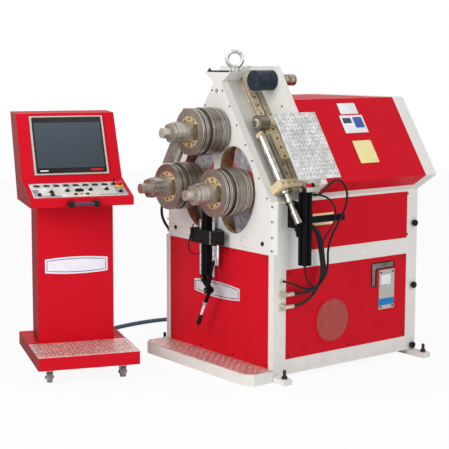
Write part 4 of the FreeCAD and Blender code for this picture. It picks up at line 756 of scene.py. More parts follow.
# %% Scattering a shape over points
def new_tree(name, sizes):
    tree = bpy.data.node_groups.new(name, "GeometryNodeTree")
    tree.interface.new_socket("Points", in_out="INPUT", socket_type="NodeSocketGeometry")
    for label, value in sizes.items():
        socket = tree.interface.new_socket(label, in_out="INPUT", socket_type="NodeSocketFloat")
        socket.default_value = value
    tree.interface.new_socket("Result", in_out="OUTPUT", socket_type="NodeSocketGeometry")
    return tree, tree.nodes.new("NodeGroupInput"), tree.nodes.new("NodeGroupOutput")


def add(tree, kind, settings=None, **inputs):
    made = tree.nodes.new(kind)
    for setting, value in (settings or {}).items():
        setattr(made, setting, value)
    for label, value in inputs.items():
        socket = made.inputs[label.replace("_", " ")]
        if isinstance(value, bpy.types.NodeSocket):
            tree.links.new(value, socket)
        else:
            socket.default_value = value
    return made


def screw_shape(tree, sizes):
    """A cylinder head with a socket sunk into its top."""
    head = add(tree, "GeometryNodeMeshCylinder", {"fill_type": "NGON"}, Vertices=14, Radius=sizes["Radius"],
               Depth=sizes["Height"])
    rim = add(tree, "GeometryNodeExtrudeMesh", {"mode": "FACES"}, Mesh=head.outputs["Mesh"],
              Selection=head.outputs["Top"], Offset_Scale=0.0)
    socket = add(tree, "GeometryNodeScaleElements", {"domain": "FACE"}, Geometry=rim.outputs["Mesh"],
                 Selection=rim.outputs["Top"], Scale=sizes["Socket"])
    depth = add(tree, "ShaderNodeMath", {"operation": "MULTIPLY"})
    tree.links.new(sizes["Height"], depth.inputs[0])
    depth.inputs[1].default_value = -0.7
    sunk = add(tree, "GeometryNodeExtrudeMesh", {"mode": "FACES"}, Mesh=socket.outputs["Geometry"],
               Selection=rim.outputs["Top"])
    tree.links.new(depth.outputs[0], sunk.inputs["Offset Scale"])
    return sunk.outputs["Mesh"]


def bar_shape(tree, sizes):
    """A low lens-shaped bar of chequered sheet."""
    ball = add(tree, "GeometryNodeMeshUVSphere", None, Segments=8, Rings=4, Radius=1.0)
    scale = add(tree, "ShaderNodeCombineXYZ")
    for index, label in enumerate(("Length", "Radius", "Height")):
        tree.links.new(sizes[label], scale.inputs[index])
    flat = add(tree, "GeometryNodeTransform", None, Geometry=ball.outputs["Mesh"], Scale=scale.outputs[0])
    return flat.outputs["Geometry"]


def scatter(name, places, shape, sizes, finish, body="frame"):
    """Sets one shape on every (place, normal, along) and returns the joined plain piece."""
    carrier = bpy.data.meshes.new(name)
    carrier.from_pydata([tuple(place) for place, normal, along in places], [], [])
    for label, values in (("normal_way", [n for p, n, a in places]), ("along_way", [a for p, n, a in places])):
        layer = carrier.attributes.new(label, "FLOAT_VECTOR", "POINT")
        layer.data.foreach_set("vector", [c for value in values for c in value])
    piece = bpy.data.objects.new(name, carrier)
    bpy.context.scene.collection.objects.link(piece)
    tree, entry, result = new_tree(name + "_tree", sizes)
    inputs = {label: entry.outputs[label] for label in sizes}
    up = add(tree, "GeometryNodeInputNamedAttribute", {"data_type": "FLOAT_VECTOR"}, Name="normal_way")
    way = add(tree, "GeometryNodeInputNamedAttribute", {"data_type": "FLOAT_VECTOR"}, Name="along_way")
    turn = add(tree, "FunctionNodeAxesToRotation", {"primary_axis": "Z", "secondary_axis": "X"},
               Primary_Axis=up.outputs["Attribute"], Secondary_Axis=way.outputs["Attribute"])
    copies = add(tree, "GeometryNodeInstanceOnPoints", None, Points=entry.outputs["Points"],
                 Instance=shape(tree, inputs), Rotation=turn.outputs["Rotation"])
    real = add(tree, "GeometryNodeRealizeInstances", None, Geometry=copies.outputs["Instances"])
    dressed_mesh = add(tree, "GeometryNodeSetMaterial", None, Geometry=real.outputs["Geometry"],
                       Material=finish.material)
    tree.links.new(dressed_mesh.outputs["Geometry"], result.inputs[0])
    modifier = piece.modifiers.new("scatter", "NODES")
    modifier.node_group = tree
    for item in tree.interface.items_tree:
        if item.in_out == "INPUT" and item.name in sizes:
            modifier[item.identifier] = float(sizes[item.name])
    bpy.context.view_layer.update()
    plain = bpy.data.meshes.new_from_object(piece.evaluated_get(bpy.context.evaluated_depsgraph_get()))
    bpy.data.objects.remove(piece)
    made = link_piece(name, plain, finish, body)
    print(name, "has", len(places), "copies and", len(plain.polygons), "faces")
    return made


def screws(name, places, radius, height, finish=None, body="frame", socket=0.55):
    rows = [(Vector(p) + Vector(n).normalized() * height * 0.45, tuple(Vector(n).normalized()), basis(n)[0])
            for p, n in places]
    return scatter(name, rows, screw_shape, {"Radius": radius, "Height": height, "Socket": socket},
                   finish or dark_steel, body)


BAR_PITCH = 0.0215


def chequer_bars(name, origin, across, up, width, depth, finish, inside=lambda u, v: True):
    """Raised bars in the two crossing directions of chequered sheet."""
    origin, across, up = Vector(origin), Vector(across), Vector(up)
    rows = []
    for i in range(int(width / BAR_PITCH)):
        for j in range(int(depth / BAR_PITCH)):
            u, v = (i + 0.5) * BAR_PITCH, (j + 0.5) * BAR_PITCH
            if inside(u, v):
                way = (across + up * (1 if (i + j) % 2 else -1)).normalized()
                rows.append((origin + across * u + up * v, across.cross(up).normalized(), way))
    return scatter(name, rows, bar_shape, {"Length": BAR_PITCH * 0.5, "Radius": BAR_PITCH * 0.13, "Height": 0.0016},
                   finish)
# %% [markdown]
# ## Screws on the machine's front
# Socket screws follow the edge of the front plate. Their places were measured on the right side,
# and the plate is symmetric, so each one is mirrored.

# %% Front plate screws
FRONT = Vector((0, -1, 0))
SIDES = ((1, "right"), (-1, "left"))
EDGE_SCREWS = ((42, 1385), (99, 1310), (156, 1220), (224, 1128), (275, 1055), (328, 974), (387, 884),
               (425, 847), (425, 775), (425, 699), (425, 635))
PIN_X, PIN_Z, PIN_RING = 0.222, 0.655, 0.028
screws("front_plate_screws", [((side * x / 1000, 0.0, z / 1000), FRONT) for x, z in EDGE_SCREWS for side, word in SIDES],
       0.0048, 0.0015)
screws("front_plate_bolts", [((side * 0.3555, 0.0, 0.662), FRONT) for side, word in SIDES], 0.011, 0.003)
screws("pin_cover_screws", [((side * PIN_X + u, 0.0, PIN_Z + v), FRONT) for side, word in SIDES
                            for u, v in arc(PIN_RING, 0, 315, 7)], 0.0026, 0.0012)
for side, word in SIDES:
    turned_piece(word + "_pin_cover", [(0.0375, 0), (0.0375, 0.0006), (0.0365, 0.0009)],
                 (side * PIN_X, 0.0, PIN_Z), FRONT, plate_enamel, count=40, core=0.0002)

# %% [markdown]
# ## Panels and doors
# The red sheets are held by small dark screws near their edges. The side doors are closed by round
# black knobs, which are turned pieces: a profile swept round their own axis.

# %% Panel screws and knobs
PANEL, FLANK = -0.0015, 0.4415
panel_places = [((side * x, PANEL, z), FRONT) for side, word in SIDES for x in (0.388, 0.13) for z in (0.075, 0.597)]
SIDE_PLACES = [(0.095, 0.52), (0.095, 0.12), (0.49, 0.525), (0.88, 0.12), (0.88, 0.525), (0.49, 0.115),
               (0.25, 0.64), (0.25, 0.85), (0.9, 0.64), (0.9, 0.85)]
panel_places += [((side * FLANK, y, z), (side, 0, 0)) for side, word in SIDES for y, z in SIDE_PLACES]
screws("panel_screws", panel_places, 0.005, 0.0022)
KNOB = [(0.011, -0.001), (0.011, 0.004), (0.016, 0.008), (0.018, 0.014), (0.016, 0.02)]
for index, z in enumerate((0.696, 0.05, 0.37)):
    for side, word in SIDES:
        turned_piece(f"{word}_door_knob_{index + 1}", KNOB, (side * 0.44, 0.945, z), (side, 0, 0), knob_plastic,
                     crown=0.001, core=0.0002)

# %% [markdown]
# ## Round vent
# Behind the round opening sits a perforated disc. Each hole is a real hole: a square cell with a
# ring of vertices, repeated over the disc, so the pattern ends on whole holes as punched sheet does.


# %% Perforated disc
def perforated_disc(name, centre, normal, radius, hole, pitch, thick, finish):
    first, second, third = basis(normal)
    rows, half = int(radius / pitch) + 1, pitch / 2
    kept = {(i, j) for i in range(-rows, rows + 1) for j in range(-rows, rows + 1)
            if math.hypot((abs(i) + 0.5) * pitch, (abs(j) + 0.5) * pitch) < radius - pitch * 0.9 + half}
    corners = {}

    def place(u, v, level):
        return Vector(centre) + first * u + second * v + third * level

    def build(bm):
        def corner(i, j, level):
            """The shared corner at the upper right of a cell."""
            if (i, j, level) not in corners:
                corners[i, j, level] = bm.verts.new(place(i * pitch + half, j * pitch + half, level))
            return corners[i, j, level]

        for i, j in sorted(kept):
            rings = [ring_at(bm, place(i * pitch, j * pitch, level), first, second, hole, 8, 0.5)
                     for level in (0.0, thick)]
            for ring, level in zip(rings, (0.0, thick)):
                edge = [corner(i, j, level), corner(i - 1, j, level), corner(i - 1, j - 1, level),
                        corner(i, j - 1, level)]
                for k in range(4):
                    a, b, c = ring[2 * k], ring[2 * k + 1], ring[(2 * k + 2) % 8]
                    for face in ((a, b, edge[k]), (b, c, edge[(k + 1) % 4], edge[k])):
                        bm.faces.new(face if level == 0.0 else tuple(reversed(face)))
            skin(bm, rings)
            for di, dj, near, far in ((1, 0, (i, j - 1), (i, j)), (-1, 0, (i - 1, j), (i - 1, j - 1)),
                                      (0, 1, (i, j), (i - 1, j)), (0, -1, (i - 1, j - 1), (i, j - 1))):
                if (i + di, j + dj) not in kept:
                    bm.faces.new((corner(*near, 0.0), corner(*far, 0.0), corner(*far, thick), corner(*near, thick)))

    print(name, "has", len(kept), "holes")
    return mesh_piece(name, build, finish, smooth=False)


VENT = Vector((FLANK, 0.381, 0.257))
OUT = Vector((1, 0, 0))
vent_rose = enamel("vent_rose_enamel", tint(206, 96, 90), tint(168, 50, 48))
# painted shade: a near-black disc behind the holes stands for the dark inside of the cabinet
vent_shade_finish = moulded("painted_shade_behind_vent", tint(20, 6, 8), 0.8)
vent_disc = perforated_disc("perforated_vent", VENT + OUT * 0.0009, OUT, 0.115, 0.0027, 0.0074, 0.0012, vent_rose)
vent_rim = ring_band("vent_rim", VENT, OUT, 0.117, 0.1065, -0.0005, 0.003, red_enamel)
vent_back = turned_piece("vent_shade_disc", [(0.1125, -0.0012), (0.1125, 0.0004)], VENT, OUT, vent_shade_finish, count=48,
                         core=0.0005)
for piece in (vent_disc, vent_rim, vent_back):
    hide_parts("vent_grille")

# %% [markdown]
# ## Angled cut-out and connection plate
# The cut-out's edge wears a black rubber trim. Its line is rounded at the corners, and the trim is
# a strip swept along it. The steel plate inside carries the connections and a blue blank film.


# %% Trim round the cut-out
def rounded_loop(corners, radius, steps=5):
    """A closed outline whose corners are rounded to a radius."""
    result = []
    for index, corner in enumerate(corners):
        here = Vector(corner)
        back = (Vector(corners[index - 1]) - here).normalized()
        ahead = (Vector(corners[(index + 1) % len(corners)]) - here).normalized()
        half = back.angle(ahead) / 2
        reach = radius / math.tan(half)
        middle = here + (back + ahead).normalized() * (radius / math.sin(half))
        start, end = here + back * reach - middle, here + ahead * reach - middle
        result += [tuple(middle + start.slerp(end, step / steps).normalized() * radius) for step in range(steps + 1)]
    return result


def strip_round(name, outline, origin, axes, width, low, high, finish, body="frame"):
    """A band along a closed outline, with its width towards the inside."""
    first, second, third = axes

    def build(bm):
        rings = []
        for i in range(len(outline)):
            here, back, ahead = (Vector(outline[k % len(outline)]) for k in (i, i - 1, i + 1))
            way = (ahead - back).normalized()
            inner = here + Vector((-way.y, way.x)) * width
            rings.append([bm.verts.new(Vector(origin) + first * p.x + second * p.y + third * level)
                          for p, level in ((here, low), (here, high), (inner, high), (inner, low))])
        skin(bm, rings, closed=True)

    return mesh_piece(name, build, finish, body)


SIDE_AXES = (Vector((0, 1, 0)), Vector((0, 0, 1)), Vector((1, 0, 0)))
CUT = ((0.645, 0.388), (0.681, 0.388), (0.681, 0.477), (0.809, 0.477), (0.809, 0.513), (0.645, 0.513))
strip_round("cut_out_trim", rounded_loop(CUT, 0.008), (0.44, 0, 0), SIDE_AXES, 0.005, -0.001, 0.0045, knob_plastic)
PLATE_OUT, FILM = 0.4445, 0.0008
slab("connection_film", (PLATE_OUT, 0.7545, 0.305), OUT, (0, 1, 0), 0.108, 0.034, FILM, blue_label, radius=0.001)
slab("connection_blank", (PLATE_OUT, 0.748, 0.42), OUT, (0, 1, 0), 0.07, 0.05, FILM, blank_label, radius=0.001)
screws("connection_screws", [((PLATE_OUT, y, z), OUT) for y in (0.712, 0.797) for z in (0.28, 0.458)], 0.005, 0.003)

# %% [markdown]
# ## Badges and films
# The badge panels stay blank. Each is a plate with bulged long edges and a thin dark line inside
# its rim, the shape of an enamelled badge.


# %% Blank badges
def badge_outline(width, height, bulge, inset=0.0, steps=12):
    """Straight short sides and gently arched long sides."""
    half_w, half_h = width / 2 - inset, height / 2 - inset
    top = [(half_w - 2 * half_w * i / steps,
            half_h + bulge * (1 - (1 - 2 * i / steps) ** 2)) for i in range(steps + 1)]
    return top + [(-x, -y) for x, y in top]


def badge(name, centre, normal, along, width, height, bulge, face, line):
    axes = basis(normal, along)
    mesh_piece(name, lambda bm: prism(bm, badge_outline(width, height, bulge), centre, axes, 0.0, 0.0016, 0.0005), face)
    strip_round(name + "_line", badge_outline(width, height, bulge, 0.008), centre, axes, 0.0035, 0.0010, 0.0021, line)


badge_face = film("badge_grey_film", tint(206, 204, 208), 0.35)
navy_line = moulded("badge_navy_line", tint(60, 72, 92), 0.4)
badge_white = film("badge_white_film", tint(238, 238, 244), 0.35, 0.02)
blue_line = moulded("badge_blue_line", tint(66, 88, 156), 0.4)
badge("front_badge", (0, PANEL, 0.386), FRONT, (1, 0, 0), 0.372, 0.06, 0.011, badge_face, navy_line)

# %% [markdown]
# The console stands turned, so its details are placed in its own axes: across, towards its back,
# and up, in millimetres. The button plate and the screen lean, and each has a helper that lays a
# slab on its slope.

# %% Console frame
CONSOLE_ORIGIN = Vector((-0.065, -0.712, 0))
CONSOLE_BACK = Vector((-CONSOLE_ACROSS.y, CONSOLE_ACROSS.x, 0))


def console_place(across, back, up):
    """World place of console millimetres."""
    return CONSOLE_ORIGIN + CONSOLE_ACROSS * across / 1000 + CONSOLE_BACK * back / 1000 + Vector((0, 0, up / 1000))


badge("console_badge", console_place(4, 318, 523), -CONSOLE_BACK, CONSOLE_ACROSS, 0.315, 0.068, 0.009, badge_white,
      blue_line)
KEY_UP = (CONSOLE_BACK * 0.960 + Vector((0, 0, 0.2798))).normalized()
KEY_OUT = CONSOLE_ACROSS.cross(KEY_UP).normalized()
SCREEN_UP = (CONSOLE_BACK * 0.4908 + Vector((0, 0, 0.8713))).normalized()
SCREEN_OUT = CONSOLE_ACROSS.cross(SCREEN_UP).normalized()


def key_place(across, run, lift=3.0):
    """A place on the button plate: millimetres across and up the key slope."""
    return console_place(across, 127, 878) + KEY_UP * run / 1000 + KEY_OUT * lift / 1000


def key_slab(name, across, run, width, height, thick, finish, radius, lift=3.0):
    return slab(name, key_place(across, run, lift), KEY_OUT, CONSOLE_ACROSS, width, height, thick, finish, radius=radius)


def screen_slab(name, across, run, lift, width, height, thick, finish, radius=0.001, sink=0.0):
    place = console_place(across, 374, 950) + SCREEN_UP * run / 1000 + SCREEN_OUT * lift / 1000
    slab(name, place, SCREEN_OUT, CONSOLE_ACROSS, width, height, thick, finish, radius=radius, sink=sink)


screen_slab("screen_bezel", 0, 180, 10.5, 0.354, 0.308, 0.0025, bezel_black, 0.004, 0.009)
screen_slab("screen_panel", 0, 178, 13, 0.338, 0.25, FILM, screen_glass)
screen_slab("screen_tab", 128, 40, 13, 0.062, 0.010, 0.001, red_plastic)
screen_slab("screen_tab_left", -138, 38, 13, 0.04, 0.006, 0.001, badge_white)
print("key slope faces", tuple(round(v, 2) for v in KEY_OUT), "screen faces", tuple(round(v, 2) for v in SCREEN_OUT))

# %% [markdown]
# ## Switches
# The button plate has a row of slate rocker switches at the back, selectors and small joysticks in
# the middle, and two key switches in front. Nothing on it carries lettering; grey fields mark the
# groups, as printing does on the real plate.

# %% Button plate and switches
key_plate = key_slab("button_plate_sheet", 0, 105, 0.46, 0.172, 0.0028, grey_plate, 0.004, 0.2)
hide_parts("button_plate")
for index in range(9):
    across = -196 + 48 * index
    key_slab(f"switch_frame_{index + 1}", across, 154, 0.029, 0.015, 0.003, knob_plastic, 0.003)
    key_slab(f"switch_rocker_{index + 1}", across, 155, 0.022, 0.009, 0.003, slate_key, 0.002, 6)
    key_slab(f"switch_mark_{index + 1}", across - 6, 174, 0.022, 0.008, FILM, shade_plate, 0.001)
for name, across, run, width, height in (
        ("left_print", -150, 28, 0.11, 0.014), ("left_side_print", -212, 70, 0.028, 0.085),
        ("right_print", 132, 32, 0.09, 0.014), ("right_side_print", 204, 78, 0.05, 0.1)):
    key_slab(name, across, run, width, height, 0.0005, shade_plate, 0.002)


def key_turned(name, across, run, profile, finish, count, crown):
    turned_piece(name, profile, key_place(across, run), KEY_OUT, finish, count=count, crown=crown)


def selector(name, across, run, radius):
    """A flat round selector with a raised grip bar inside a pale ring."""
    key_turned(name + "_ring", across, run, [(radius * 1.3, 0), (radius * 1.3, 0.0015)], shade_plate, 28, 0.0005)
    key_turned(name, across, run, [(radius, 0.001), (radius * 0.95, 0.006)], knob_plastic, 28, 0.0005)
    slab(name + "_grip", key_place(across, run, 9), KEY_OUT, CONSOLE_ACROSS * 0.8 + KEY_UP, radius * 1.7,
         radius * 0.5, 0.006, knob_plastic, radius=radius * 0.2)


for index, (across, run) in enumerate(((-137, 76), (-58, 86), (57, 91), (137, 92), (200, 58), (-200, 43), (-137, 40))):
    selector(f"selector_{index + 1}", across, run, 0.0105)


def dial_shape(bm):
    """A wide oval with a raised bar on it."""
    axes = basis(KEY_OUT, CONSOLE_ACROSS)
    prism(bm, [(x * 1.55, y) for x, y in arc(0.014, 0, 350, 35)], key_place(1, 88), axes, 0.0, 0.007, 0.002)
    prism(bm, round_rect(0.022, 0.008, 0.003), key_place(1, 88), axes, 0.006, 0.011, 0.001)


mesh_piece("middle_dial", dial_shape, bezel_black)
for index, (across, size, base, top) in enumerate(((-25, 0.009, yellow_plastic, knob_plastic),
                                                   (3, 0.004, red_plastic, red_plastic),
                                                   (32, 0.009, yellow_plastic, knob_plastic))):
    key_slab(f"key_base_{index + 1}", across, 43, size * 2, size * 1.6, 0.003, base, size * 0.4)
    key_slab(f"key_switch_{index + 1}", across, 39, size * 1.9, size * 1.1, 0.005, top, size * 0.3, 5)

# %% Small stick and emergency stop
key_turned("stick_boot", 188, 160, [(0.012, 0), (0.009, 0.006), (0.004, 0.010), (0.0022, 0.013), (0.0022, 0.024),
                                    (0.0035, 0.026), (0.0035, 0.031)], knob_plastic, 24, 0.001)
key_turned("stop_plate", 210, 132, [(0.018, 0), (0.018, 0.005)], yellow_plastic, 32, 0.001)
key_turned("stop_button", 210, 134, [(0.010, 0.005), (0.010, 0.013), (0.0155, 0.014), (0.0165, 0.018), (0.015, 0.022),
                                     (0.009, 0.024)], red_plastic, 36, 0.0005)
screws("button_plate_screws", [(key_place(a, r), KEY_OUT) for a in (-222, 222) for r in (25, 184)], 0.0035, 0.0016,
       bright_steel)

# %% [markdown]
# The desk's handle is a grey bar between two black feet.

# %% Desk handle feet
for side, word in ((1, "far"), (-1, "near")):
    slab(f"handle_foot_{word}", console_place(side * 62, 102, 855), -CONSOLE_BACK, CONSOLE_ACROSS, 0.026, 0.03,
         0.026, knob_plastic, radius=0.006, sink=0.02)

# %% [markdown]
# ## Side guides
# Both guides lie on the slopes beside the head. A helper turns slope millimetres (out from the
# slope, depth, down the slope) into world places, mirrored for the left one.


# %% Places on the slopes
SLOPE_OUT, SLOPE_DOWN = (0.82241, 0.5689), (0.5689, -0.82241)


def slope_place(side, out, depth, down):
    return Vector((side * (0.0495 + (SLOPE_OUT[0] * out + SLOPE_DOWN[0] * down) / 1000), depth / 1000,
                   1.4365 + (SLOPE_OUT[1] * out + SLOPE_DOWN[1] * down) / 1000))


slope_out = {side: Vector((side * SLOPE_OUT[0], 0, SLOPE_OUT[1])) for side, word in SIDES}
slope_down = {side: Vector((side * SLOPE_DOWN[0], 0, SLOPE_DOWN[1])) for side, word in SIDES}


def slope_screws(name, side, places, *rest):
    """Screws that stand square on a slope, at places given out, deep and down."""
    screws(name, [(slope_place(side, *place), slope_out[side]) for place in places], *rest)


screws("rail_screws", [(slope_place(side, 30.0, 120, 25 + 48 * k), slope_out[side]) for side, word in SIDES
                       for k in range(12)], 0.0055, 0.0004, socket=0.7)
scatter("rack_marks", [(slope_place(side, 26.05, 166, -34 + 5.8 * k), slope_out[side], Vector((0, 1, 0)))
                       for side, word in SIDES for k in range(109)], bar_shape,
        {"Length": 0.0105, "Radius": 0.0011, "Height": 0.0006}, dark_steel)
scatter("rail_edge_marks", [(slope_place(side, 30.0, 103, -6 + 9.0 * k), slope_out[side], slope_down[side])
                            for side, word in SIDES for k in range(68)], bar_shape,
        {"Length": 0.003, "Radius": 0.0012, "Height": 0.0003}, dark_steel)
for side, word in SIDES:
    carrier_body = word + "_guide"
    slope_screws(word + "_slide_screws", side, [(58.0, 124, 276 + 50 * k) for k in range(5)], 0.0058, 0.0012,
                 dark_steel, carrier_body, 0.6)
    screws(word + "_slide_side_screws", [(slope_place(side, 44.0, 98, 372 + 34 * k), FRONT) for k in range(4)],
           0.008, 0.007, satin_sheet, carrier_body)
    front = slope_place(side, 60.0, 27.5, 288)
    turned_piece(word + "_axle_washer", [(0.021, 0), (0.021, 0.0015), (0.019, 0.0022)], front, FRONT, bright_steel,
                 carrier_body, 36)
    screws(word + "_axle_screws", [(front + Vector((0.011 * math.cos(a), -0.0022, 0.011 * math.sin(a))), FRONT)
                                   for a in (0.6, 2.7, 4.8)], 0.0036, 0.002, dark_steel, carrier_body)
    slope_screws(word + "_flange_screws", side, [(78.0, depth, 630) for depth in (24, 60, 96, 130)], 0.0062, 0.004,
                 satin_sheet)
    slope_screws(word + "_rod_nut_screws", side, [(58.0, 60, 340)], 0.006, 0.004, dark_steel, carrier_body)
print("guide details on both slopes")

# %% [markdown]
# The tread covers beside the guides, the step and the console's base are chequered sheet. Their
# bars are laid by the scatter tree in two crossing directions.

# %% Raised bars on the sheets
COVER_DEPTH, COVER_FALL = 0.267, 0.63824
for side, word in SIDES:
    high = (side * (0.324 + 0.060 * COVER_FALL), 0.320 if side > 0 else 0.320 - COVER_DEPTH, 1.283)
    fall = Vector((side * COVER_FALL, 0, -1)).normalized()
    chequer_bars(word + "_cover_bars", high, (0, -side, 0), fall, COVER_DEPTH, 0.3595, bar_bright)
STEP_TOP, STEP_HALF = 0.06, 0.43


def on_step(u, v):
    """Keeps the bars off the cut-off corners of the step."""
    return abs(u - STEP_HALF) + max(0.0, 0.035 - v) < STEP_HALF - 0.005


chequer_bars("step_bars", (-STEP_HALF, -0.15, STEP_TOP), (1, 0, 0), (0, 1, 0), 2 * STEP_HALF, 0.148, bar_rosy, on_step)
chequer_bars("console_base_bars", console_place(-246, 0, 146), CONSOLE_ACROSS, CONSOLE_BACK, 0.492, 0.275, bar_rosy)

# %% [markdown]
# ## Roll fronts
# A recess in each stack's face holds two golden crescent plates, screwed on above and below the
# sleeve. A key, the slotted nut's teeth and a centre hole belong to each shaft; the hole is a black
# disc of painted shade. All of it turns with its roll. A crescent lies between the recess wall, a flat
# cut and the sleeve.

# %% Roll face details
FACE_AXES = basis(FRONT, (1, 0, 0))
RECESS_Y, NUT_Y, END_Y = -0.166, -0.2735, -0.336
half_moon = plain_steel("golden_half_moon", tint(190, 158, 112), tint(240, 218, 178), 0.34, 0.4)
recess_steel = plain_steel("recess_floor_steel", tint(96, 78, 54), tint(150, 126, 92), 0.36, 0.5)
for word, x, z in (("top", 0.0, 1.186), ("right", 0.187, 0.902), ("left", -0.187, 0.902)):
    carried = word + "_spindle"

    def moons(bm):
        for turn in (0, 180):
            outline = arc(0.0775, 30 + turn, 150 + turn, 24) + arc(0.0515, 132 + turn, 48 + turn, 16)
            prism(bm, outline, (x, RECESS_Y, z), FACE_AXES, 0.0, 0.0066, 0.001)

    def key_and_teeth(bm):
        prism(bm, round_rect(0.014, 0.078, 0.004), (x, -0.229, z + 0.0485), basis((0, 0, 1), (1, 0, 0)), 0.0, 0.0035,
              0.0006)
        for start in range(0, 360, 60):
            tooth = arc(0.0475, start, start + 34, 5) + arc(0.0435, start + 34, start, 5)
            prism(bm, tooth, (x, NUT_Y, z), FACE_AXES, 0.0, 0.0165, 0.0006)

    mesh_piece(word + "_half_moons", moons, half_moon, carried)
    ring_band(word + "_recess_floor", (x, RECESS_Y, z), FRONT, 0.0778, 0.0512, -0.0005, 0.0009, recess_steel, carried)
    screws(word + "_half_moon_screws", [((x + 0.0645 * math.cos(math.radians(a)), RECESS_Y - 0.0067,
                                          z + 0.0645 * math.sin(math.radians(a))), FRONT)
                                        for a in (55, 90, 125, 235, 270, 305)], 0.0052, 0.0008, dark_steel, carried, 0.6)
    mesh_piece(word + "_key_and_teeth", key_and_teeth, shaft_steel, carried)
    turned_piece(word + "_centre_ring", [(0.0075, -0.0005), (0.0088, -0.0005), (0.0088, 0.0006), (0.0078, 0.0009),
                                         (0.0075, 0.0006)], (x, END_Y, z), FRONT, bright_steel, carried, 28, core=None)
    # painted shade: a black disc stands for the centre hole
    turned_piece(word + "_centre_hole_shade", [(0.0074, -0.0005), (0.0074, 0.0002)], (x, END_Y, z), FRONT, knob_plastic,
                 carried, 24)
    ring_band(word + "_face_ring", (x, -0.174, z), FRONT, 0.0815, 0.0792, -0.001, 0.0008, shaft_steel, carried)

# %% [markdown]
# ## Front probe
# The contact probe hangs on the sliding profile: a short link, an elbow and a lever with a white
# rod and a black grip. A thin cable loops under the block to the elbow's second arm.


# %% Rods between two places
def rod_between(name, start, end, radius, finish, body="frame", count=20, tip=0.0):
    """A round rod with softened ends that may swell or narrow towards its end."""
    start, end = Vector(start), Vector(end)
    length = (end - start).length
    edge = min(radius * 0.3, 0.002)
    profile = [(radius - edge, 0), (radius, edge), (radius - tip, length - edge), (radius - tip - edge, length)]
    return turned_piece(name, profile, start, end - start, finish, body, count)


def bar_between(name, start, end, width, thick):
    """A flat black bar of the probe with round ends, thick towards the front."""
    start, end = Vector(start), Vector(end)
    slab(name, (start + end) / 2 - FRONT * thick / 2, FRONT, (end - start).normalized(),
         (end - start).length + width, width, thick, black_enamel, PROBE, radius=width * 0.42)


PROBE = "probe_slide"
bar_between("probe_link", (-0.012, -0.081, 0.452), (0.052, -0.081, 0.4), 0.028, 0.012)
bar_between("probe_arm", (0.052, -0.105, 0.4), (0.083, -0.105, 0.476), 0.017, 0.013)
rod_between("probe_sleeve", (0.080, -0.105, 0.468), (0.111, -0.105, 0.558), 0.0065, black_enamel, PROBE)
turned_piece("probe_elbow", [(0.015, 0), (0.016, 0.002), (0.016, 0.041), (0.014, 0.043)], (0.052, -0.071, 0.4), FRONT,
             black_enamel, PROBE)
turned_piece("probe_foot", [(0.013, 0), (0.013, 0.014)], (-0.01, -0.062, 0.4485), FRONT, black_enamel, PROBE)
screws("probe_joint_screws", [((0.052, -0.114, 0.4), FRONT), ((-0.012, -0.087, 0.452), FRONT)], 0.006, 0.003,
       bright_steel, PROBE)
LEVER_Y = -0.081
for name, x, z, far_x, far_z, radius, finish in (
        ("lever_neck", 0.046, 0.392, 0.006, 0.322, 0.0095, black_enamel),
        ("lever_nut", 0.012, 0.333, 0.004, 0.318, 0.0125, bright_steel),
        ("lever_rod", 0.006, 0.322, -0.026, 0.26, 0.0065, blank_label)):
    rod_between(name, (x, LEVER_Y, z), (far_x, LEVER_Y, far_z), radius, finish, PROBE)
rod_between("lever_grip", (-0.0235, LEVER_Y, 0.264), (-0.051, LEVER_Y, 0.212), 0.0105, knob_plastic, PROBE, 24, -0.002)
slab("probe_scale_plate", (0.030, -0.0375, 0.5775), FRONT, (0, 0, 1), 0.118, 0.062, 0.004, blank_label, radius=0.003)
rod_between("probe_stem_right", (0.107, -0.078, 0.632), (0.107, -0.078, 0.566), 0.0055, blank_label)
rod_between("probe_stem_left", (0.088, -0.078, 0.632), (0.088, -0.078, 0.572), 0.0045, bright_steel)
LOOP = [(-0.07, -0.094, 0.72), (-0.083, -0.097, 0.69), (-0.098, -0.098, 0.65), (-0.112, -0.098, 0.61),
        (-0.116, -0.09, 0.578), (-0.103, -0.07, 0.56), (-0.07, -0.036, 0.561), (-0.03, -0.014, 0.574),
        (0.01, -0.012, 0.588), (0.045, -0.018, 0.6), (0.07, -0.036, 0.606), (0.086, -0.058, 0.6)]
tube("probe_cable", even_points(sampled(LOOP), HOSE_STEP), lambda s: 0.0032, hose_rubber, 10)
slab("probe_stripe", (0.062, -0.0912, 0.662), FRONT, (0, 0, 1), 0.066, 0.005, 0.0006, satin_sheet, radius=0.001)
screws("probe_block_screws", [((x, -0.091, z), FRONT) for x in (-0.09, 0.09) for z in (0.643, 0.681)], 0.005, 0.002)

# %% [markdown]
# ## Head, drive and flanks
# Small pieces round the head and the hose post: a stop strip and nut on the head's top, bolts on
# the drive, end pieces on the post, a clamp lever and the blank films.

